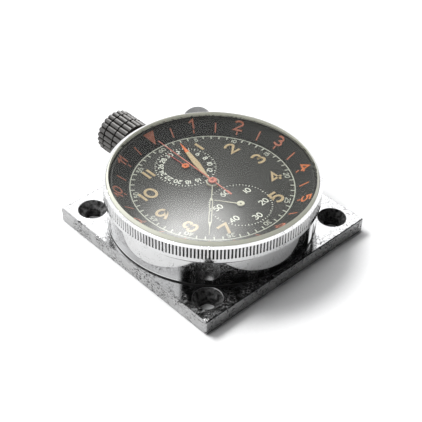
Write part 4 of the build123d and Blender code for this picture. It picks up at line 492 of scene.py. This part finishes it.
def crown_steel(name):
    """Matt steel, darkened between the ribs and rows by grime and painted shade."""
    look = Look(name)
    reach = look.radius((0.0, STEM_HEIGHT), "XZ")
    streak = look.noise(1.0, 3.0, 0.6, look.stretched((5.0, 0.5, 5.0)))
    colour = look.mix(streak, grey(0.065, 0.03), grey(0.19, 0.025))
    # Grime and painted shade: darker towards the bottoms of the ribs.
    grime_and_shade = look.span(reach, *(CROWN_RADIUS - depth for depth in RIB_DEPTHS))
    colour = look.mix(look.calc("MULTIPLY", grime_and_shade, 0.9), colour, CROWN_GRIME_AND_SHADE)
    look.set(Base_Color=colour, Metallic=1.0, Roughness=look.span(streak, 0.3, 0.7, 0.38, 0.5))
    return look.bump(look.noise(3.0, 4.0), 0.3, 0.03).material


def rubber(name):
    look = Look(name)
    fine = look.noise(5.0, 3.0)
    rough = look.span(fine, 0.3, 0.7, 0.6, 0.8)
    look.set(Base_Color=look.mix(fine, grey(0.012), grey(0.03)), Roughness=rough)
    return look.bump(fine, 0.3, 0.02).material


def ruby(name):
    look = Look(name)
    cloud = look.noise(1.5, 2.0)
    look.set(Base_Color=look.mix(cloud, (0.4, 0.01, 0.06, 1.0), (0.62, 0.03, 0.12, 1.0)))
    return look.set(Roughness=look.span(cloud, 0.3, 0.7, 0.06, 0.14)).material


CRYSTAL_EDGE_RADIUS = 28.63
CRYSTAL_MIRROR = 0.16
CRYSTAL_ROUGHNESS = 0.21


def acrylic(name):
    """Clear acrylic: it mirrors softly and holds a little haze. Its bevelled shoulder is cream and glows
    weakly, the yellowed acrylic's tone with painted light for the light that the bevel carries from the
    bezel.
    """
    look = Look(name)
    tree, add = look.tree, look.add
    tree.nodes.remove(look.shader)
    output = next(n for n in tree.nodes if n.type == "OUTPUT_MATERIAL")
    cloud = look.noise(0.1, 2.0)
    clear = add("ShaderNodeBsdfTransparent", {"Color": (0.97, 0.975, 0.955, 1.0)})
    facing = add("ShaderNodeLayerWeight", {"Blend": 0.5}).outputs["Facing"]
    grazing = look.calc("MULTIPLY", look.calc("POWER", facing, 5.0), 0.96)
    shine = look.calc("MULTIPLY", look.calc("ADD", grazing, 0.04), CRYSTAL_MIRROR)
    roughness = look.span(cloud, 0.3, 0.7, CRYSTAL_ROUGHNESS * 0.9, CRYSTAL_ROUGHNESS * 1.1)
    mirror = add("ShaderNodeBsdfGlossy", {"Color": (1, 1, 1, 1), "Roughness": roughness})
    pane = add("ShaderNodeMixShader", {0: shine, 1: clear.outputs[0], 2: mirror.outputs[0]})
    # Painted light: the shoulder's cream colour and weak emission stand in for light that the bevel carries
    # in from the bezel.
    shoulder_glow = add(
        "ShaderNodeBsdfPrincipled",
        {
            "Base Color": look.mix(cloud, (0.46, 0.46, 0.39, 1.0), (0.55, 0.56, 0.48, 1.0)),
            "Roughness": 0.25,
            "Emission Color": (0.8, 0.8, 0.68, 1.0),
            "Emission Strength": 0.3,
        },
    )
    shoulder = look.span(look.radius(), CRYSTAL_EDGE_RADIUS, CRYSTAL_EDGE_RADIUS + 0.08, 0.0, 0.9)
    whole = add("ShaderNodeMixShader", {0: shoulder, 1: pane.outputs[0], 2: shoulder_glow.outputs[0]})
    tree.links.new(whole.outputs[0], output.inputs[0])
    return look.material


CREAM, CREAM_AGED = (0.62, 0.6, 0.5, 1.0), (0.44, 0.42, 0.33, 1.0)
WHITE, WHITE_AGED = (0.8, 0.81, 0.76, 1.0), (0.55, 0.56, 0.51, 1.0)
TRACK_GREY, TRACK_GREY_AGED = (0.46, 0.47, 0.42, 1.0), (0.3, 0.31, 0.27, 1.0)
TAN, TAN_AGED = (0.48, 0.37, 0.235, 1.0), (0.38, 0.28, 0.165, 1.0)
ORANGE, ORANGE_AGED = (0.72, 0.17, 0.045, 1.0), (0.55, 0.12, 0.035, 1.0)
RED, RED_AGED = (0.55, 0.17, 0.13, 1.0), (0.42, 0.12, 0.09, 1.0)
SALMON, SALMON_AGED = (0.42, 0.15, 0.1, 1.0), (0.3, 0.105, 0.07, 1.0)
DEEP_RED, DEEP_RED_AGED = (0.36, 0.045, 0.04, 1.0), (0.26, 0.035, 0.03, 1.0)
BRIGHT_SALMON = (0.5, 0.145, 0.05, 1.0)
# How far out a hand's second colour starts, and that colour new and aged.
HOUR_HAND_TIP = (15.7, ORANGE, ORANGE_AGED)
COUNTER_HAND_BLADE = (12.3, DEEP_RED, DEEP_RED_AGED)
# Painted shade: the minute hand is near black about its centre, out to 1.5 mm, standing in for a sunk hub
# centre in shade.
HUB_HOLE_SHADE = (0.03, 0.028, 0.025, 1.0)
DULL_CREAM, DULL_CREAM_AGED = (0.44, 0.43, 0.36, 1.0), (0.3, 0.29, 0.23, 1.0)
MINUTE_HAND_BLADE = (1.5, DULL_CREAM, DULL_CREAM_AGED)
BRASS = (0.72, 0.54, 0.24, 1.0)
ARBOR_TIP = 14.8

BY_SLOT = {
    "plated_steel": plated("plated_case"),
    "brushed_steel": machined("brushed_steel", grey(0.5), 0.34, grain=BRUSHED_GRAIN),
    "steel": machined("polished_steel", grey(0.52), 0.22),
    "crown_steel": crown_steel("crown_steel"),
    "blued_steel": machined("blued_steel", (0.06, 0.09, 0.24, 1.0), 0.25),
    "spring_steel": machined("spring_steel", (0.36, 0.38, 0.42, 1.0), 0.3),
    "gilt_brass": machined("gilt_brass", (0.66, 0.5, 0.24, 1.0), 0.36),
    "ring_brass": machined("ring_brass", (0.56, 0.46, 0.26, 1.0), 0.4),
    "wheel_brass": machined("wheel_brass", BRASS, 0.26),
    "ruby": ruby("ruby"),
    "black_rubber": rubber("black_rubber"),
    "dial_black": dial_paint("dial_black"),
    "ring_black": ring_paint("ring_black"),
    "acrylic": acrylic("acrylic"),
    "cream_paint": paint("cream_hand", CREAM, CREAM_AGED),
    "tan_paint": paint("tan_hand", TAN, TAN_AGED, tip=HOUR_HAND_TIP),
    "red_paint": paint("red_hand", RED, RED_AGED),
    "orange_paint": paint("orange_hand", ORANGE, ORANGE_AGED, tip=COUNTER_HAND_BLADE),
}
# Painted shade: near black above ARBOR_TIP, where the arbor tips sit sunk in the hands' hub holes.
shaded_tip_brass = machined("shaded_tip_brass", BRASS, 0.26, tip_level=ARBOR_TIP)
BY_NODE = {
    "flange_plate": plated("plated_flange", wear=plate_wear, grime_and_shade=plate_grime),
    "case_band": plated("plated_band", grime_and_shade=band_grime),
    "bezel": plated("plated_bezel", grime_and_shade=knurl_grime),
    "minute_hand": paint("cream_minute_hand", HUB_HOLE_SHADE, HUB_HOLE_SHADE, tip=MINUTE_HAND_BLADE),
    "fourth_wheel": shaded_tip_brass,
    "minute_recorder": shaded_tip_brass,
    "chronograph_wheel": shaded_tip_brass,
    "push_button": plated("plated_button", level=BUTTON_PLATING),
}

for name, node in nodes.items():
    for place in node.material_slots:
        slot_name = place.material.name.split(".")[0]
        place.link = "OBJECT"
        place.material = BY_NODE.get(name) or BY_SLOT[slot_name]

spring = nodes["pusher_spring"].copy()
spring.name = "closing_pusher_spring"
spring.parent = None
bpy.context.scene.collection.objects.link(spring)
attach(spring, "push_button")
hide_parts("pusher_spring")
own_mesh(spring)

# ------------------------------------------------------------------ dial print
MINUTES = 60
NUMBERED_MINUTE = 5
TRACK_RADIUS = 22.87
TRACK_WIDTH = 0.28
TRACK_TICK = (21.6, 22.8)
TRACK_TICK_WIDTH = 0.36
TRACK_NUMBER_RADIUS = 21.4
TRACK_NUMBER_HEIGHT = 1.6
TRACK_NUMBER_STROKE = 0.25
LINE_STEPS = 180

track_print = paint("track_print", TRACK_GREY, TRACK_GREY_AGED, grain=3.0)
white_print = paint("white_print", WHITE, WHITE_AGED, grain=3.0)
tan_lume = paint("tan_lume", TAN, TAN_AGED, 0.7, 2.2)
salmon_print = paint("salmon_print", SALMON, SALMON_AGED, 0.6, 1.2, brighter=BRIGHT_SALMON)

track = bmesh.new()
middle = on_dial((0.0, 0.0))
circle = arc((0, 0), (TRACK_RADIUS,) * 2, 0, 360, LINE_STEPS)[:-1]
add_line(track, circle, TRACK_WIDTH, middle, PRINT_RISE, True)
for minute in range(1, MINUTES + 1):
    bearing = minute * 360 / MINUTES
    if minute % NUMBERED_MINUTE:
        ends = [toward(bearing, reach) for reach in TRACK_TICK]
        add_line(track, ends, TRACK_TICK_WIDTH, middle, PRINT_RISE)
    else:
        place = on_dial(toward(bearing, TRACK_NUMBER_RADIUS), bearing)
        add_number(track, str(minute), TRACK_NUMBER_HEIGHT, TRACK_NUMBER_STROKE, place, PRINT_RISE)
piece_from(track, "minute_track_print", "case", track_print)

HOUR_NUMBER_RADIUS = 17.9
HOUR_NUMBER_HEIGHT = 4.4
HOUR_NUMBER_STROKE = 0.76
HOUR_NUMBER_BROAD = 1.2
# The numbers stand a little off an even circle, by these moves to the right and up.
HOUR_SHIFTS = {
    1: (0.3, 0.0),
    2: (0.1, -0.2),
    3: (0.0, 0.0),
    4: (0.0, 0.0),
    5: (0.3, -0.1),
    7: (-1.2, -0.5),
    8: (-0.9, 0.1),
    9: (-0.5, -0.3),
    10: (-0.4, -0.3),
    11: (-1.1, 0.0),
}
hours = bmesh.new()
for hour, (shift_x, shift_y) in HOUR_SHIFTS.items():
    x, y = toward(hour * 30, HOUR_NUMBER_RADIUS)
    place = on_dial((x + shift_x, y + shift_y))
    figures = (HOUR_NUMBER_HEIGHT, HOUR_NUMBER_STROKE)
    add_number(hours, str(hour), *figures, place, LUME_RISE, broad=HOUR_NUMBER_BROAD)
piece_from(hours, "hour_numbers", "case", tan_lume)

SUBDIAL_LEVEL = DIAL_TOP - SUBDIAL_SINK
SUBDIAL_TICK_WIDTH = 0.2
SUBDIAL_TICKS = 60


def subdial(name, centre, long_every, tick_radii, numbers, number_radius, number_size, upright=False):
    """The ticks and numbers of one small dial, with each number's bearing."""
    long_start, short_start, tick_end = tick_radii
    mesh = bmesh.new()
    middle = on_dial((0.0, 0.0), 0.0, SUBDIAL_LEVEL)
    for tick in range(SUBDIAL_TICKS):
        bearing = tick * 360 / SUBDIAL_TICKS
        start = short_start if tick % long_every else long_start
        ends = [toward(bearing, reach, centre) for reach in (start, tick_end)]
        add_line(mesh, ends, SUBDIAL_TICK_WIDTH, middle, PRINT_RISE)
    for number, bearing in numbers:
        turn = 0.0 if upright else bearing
        place = on_dial(toward(bearing, number_radius, centre), turn, SUBDIAL_LEVEL)
        add_number(mesh, str(number), *number_size, place, PRINT_RISE)
    return piece_from(mesh, name, "case", white_print)


subdial(
    "seconds_dial_print",
    (0.0, -SUBDIAL_OFFSET),
    5,
    (8.2, 8.45, 8.8),
    [(n, n * 6) for n in range(10, 61, 10)],
    6.4,
    (2.0, 0.3),
    upright=True,
)
subdial(
    "counter_dial_print",
    (0.0, SUBDIAL_OFFSET),
    2,
    (8.15, 8.5, 8.8),
    [(n, n * 12) for n in range(2, 31, 2)],
    7.0,
    (1.6, 0.26),
)

# ------------------------------------------------------------------ sloping ring marks
RING_TICK = (23.99, 26.49)
RING_SHORT_TICK = (24.0, 24.85)
RING_MARK_WIDTH = 0.4
RING_NUMBER_RADIUS = 26.4
RING_NUMBER_HEIGHT = 3.3
RING_NUMBER_STROKE = 0.56
RING_NUMBER_BROAD = 1.35
RING_TRIANGLE = (24.0, 27.5, 1.85)
TRIANGLE_STEPS = 8
TRIANGLE_POINT = 0.02
HALF_HOURS = 24

ring = bmesh.new()
for half in range(1, HALF_HOURS):
    bearing = half * 360 / HALF_HOURS
    place = on_ring(bearing, 0.0)
    ends = RING_TICK if half % 2 else RING_SHORT_TICK
    line = [(0.0, reach * RING_STRETCH) for reach in ends]
    add_line(ring, line, RING_MARK_WIDTH, place, PRINT_RISE)
    if half % 2 == 0:
        spot = on_ring(bearing, RING_NUMBER_RADIUS)
        figures = (RING_NUMBER_HEIGHT, RING_NUMBER_STROKE)
        add_number(ring, str(half // 2), *figures, spot, PRINT_RISE, True, RING_NUMBER_BROAD)
tip, foot, half_width = RING_TRIANGLE
rows = []
for i in range(TRIANGLE_STEPS + 1):
    share = i / TRIANGLE_STEPS
    reach = tip + (foot - tip) * share
    wide = half_width * (TRIANGLE_POINT + (1 - TRIANGLE_POINT) * share)
    across = [2 * k / TRIANGLE_STEPS - 1 for k in range(TRIANGLE_STEPS + 1)]
    rows.append([(wide * side, reach * RING_STRETCH) for side in across])
add_patch(ring, rows, on_ring(0.0, 0.0), -PRINT_DEPTH, PRINT_RISE)
piece_from(ring, "ring_marks", "bezel", salmon_print)


# ------------------------------------------------------------------ stage: floor, light, camera
FLOOR_HALF = 3000.0
FLOOR_LEVEL = -0.02
floor_mesh = bmesh.new()
corners = [(-1, -1), (1, -1), (1, 1), (-1, 1)]
spread = FLOOR_HALF * MM
floor_mesh.faces.new([floor_mesh.verts.new((x * spread, y * spread, FLOOR_LEVEL * MM)) for x, y in corners])
floor_data = bpy.data.meshes.new("floor")
floor_mesh.to_mesh(floor_data)
floor_mesh.free()
floor = bpy.data.objects.new("floor", floor_data)
bpy.context.scene.collection.objects.link(floor)
paper = Look("floor_paper")
weave = paper.noise(1.1, 3.0, 0.6)
paper.set(Base_Color=paper.mix(weave, grey(0.9), grey(0.95)), Roughness=0.9)
paper.bump(weave, 0.2, 0.2)
floor_data.materials.append(paper.material)

# The studio: a pale backdrop behind and to the left, and a dark room in front and to the right.
BACKDROP = (1.7, 1.25)
BACKDROP_FADE = (-0.45, 0.35)
ROOM = 0.003
EDGE_FADE = (-0.02, 0.03)
BACKDROP_EDGES = ((-0.2, 0.98, 0.0), (-0.15, 1.0, 0.145))


def studio(world):
    """A sky that is bright on the pale side of two planes and dark beyond them."""
    world.use_nodes = True
    tree = world.node_tree
    tree.nodes.clear()

    def add(kind, inputs, **settings):
        return add_node(tree, kind, inputs, **settings)

    way = add("ShaderNodeTexCoord", {}).outputs["Generated"]
    shares = []
    for edge in BACKDROP_EDGES:
        side = add("ShaderNodeVectorMath", {0: way, 1: edge}, operation="DOT_PRODUCT").outputs["Value"]
        inputs = {0: side, 1: EDGE_FADE[0], 2: EDGE_FADE[1]}
        soft = add("ShaderNodeMapRange", inputs, interpolation_type="SMOOTHSTEP")
        shares.append(soft.outputs[0])
    lit = add("ShaderNodeMath", {0: shares[0], 1: shares[1]}, operation="MINIMUM").outputs[0]
    left = add("ShaderNodeVectorMath", {0: way, 1: (-1.0, 0.0, 0.0)}, operation="DOT_PRODUCT")
    fade = {1: BACKDROP_FADE[0], 2: BACKDROP_FADE[1]}
    backdrop = add("ShaderNodeMapRange", {0: left.outputs["Value"], 3: BACKDROP[0], 4: BACKDROP[1], **fade})
    level = add("ShaderNodeMix", {0: lit, 2: ROOM, 3: backdrop.outputs[0]}).outputs[0]
    seen = add("ShaderNodeLightPath", {}).outputs["Is Camera Ray"]
    lamp = add("ShaderNodeBackground", {"Color": (0.985, 0.99, 1.0, 1.0), "Strength": level})
    plain = add("ShaderNodeBackground", {"Color": (1.0, 1.0, 1.0, 1.0), "Strength": 1.0})
    both = add("ShaderNodeMixShader", {0: seen, 1: lamp.outputs[0], 2: plain.outputs[0]})
    out = add("ShaderNodeOutputWorld", {})
    tree.links.new(both.outputs[0], out.inputs[0])


world = bpy.data.worlds.new("studio")
bpy.context.scene.world = world
studio(world)
bpy.context.scene.view_settings.view_transform = "Standard"


def soft_box(name, azimuth, elevation, distance, size, brightness):
    """A square lamp that faces the object. Brightness is its radiance."""
    a, e = math.radians(azimuth), math.radians(elevation)
    way = Vector((math.cos(e) * math.cos(a), math.cos(e) * math.sin(a), math.sin(e)))
    data = bpy.data.lights.new(name, "AREA")
    data.shape = "RECTANGLE"
    data.size, data.size_y = size[0] * MM, size[1] * MM
    data.energy = brightness * math.pi * data.size * data.size_y
    lamp = bpy.data.objects.new(name, data)
    lamp.location = way * distance * MM
    lamp.rotation_euler = way.to_track_quat("Z", "Y").to_euler()
    lamp.visible_camera = False
    bpy.context.scene.collection.objects.link(lamp)
    return lamp


# One lamp shows only in the crystal, and the other only throws the shadow.
glare = soft_box("glare_soft_box", 50, 51.3, 904, (165, 126), 80.0)
glare.visible_diffuse = False
shade = soft_box("shade_soft_box", 104, 53, 3000, (1350, 950), 20.0)
shade.visible_glossy = False

CAMERA_PLACE = Vector((-156.27, -162.38, 195.93)) * MM
CAMERA_AIM = Vector((4.144, 4.733, 0.0)) * MM
CAMERA_ROLL = 1.214
CAMERA_LENS = 88.95
CAMERA_SENSOR = 36.0
CAMERA_NEAR = 10.0
camera_data = bpy.data.cameras.new("camera")
camera_data.sensor_width = CAMERA_SENSOR
camera_data.lens = CAMERA_LENS
camera_data.clip_start = CAMERA_NEAR * MM
camera = bpy.data.objects.new("camera", camera_data)
camera.location = CAMERA_PLACE
aim = (CAMERA_AIM - CAMERA_PLACE).to_track_quat("-Z", "Y").to_matrix().to_4x4()
camera.rotation_euler = (aim @ Matrix.Rotation(math.radians(CAMERA_ROLL), 4, "Z")).to_euler()
bpy.context.scene.collection.objects.link(camera)
bpy.context.scene.camera = camera
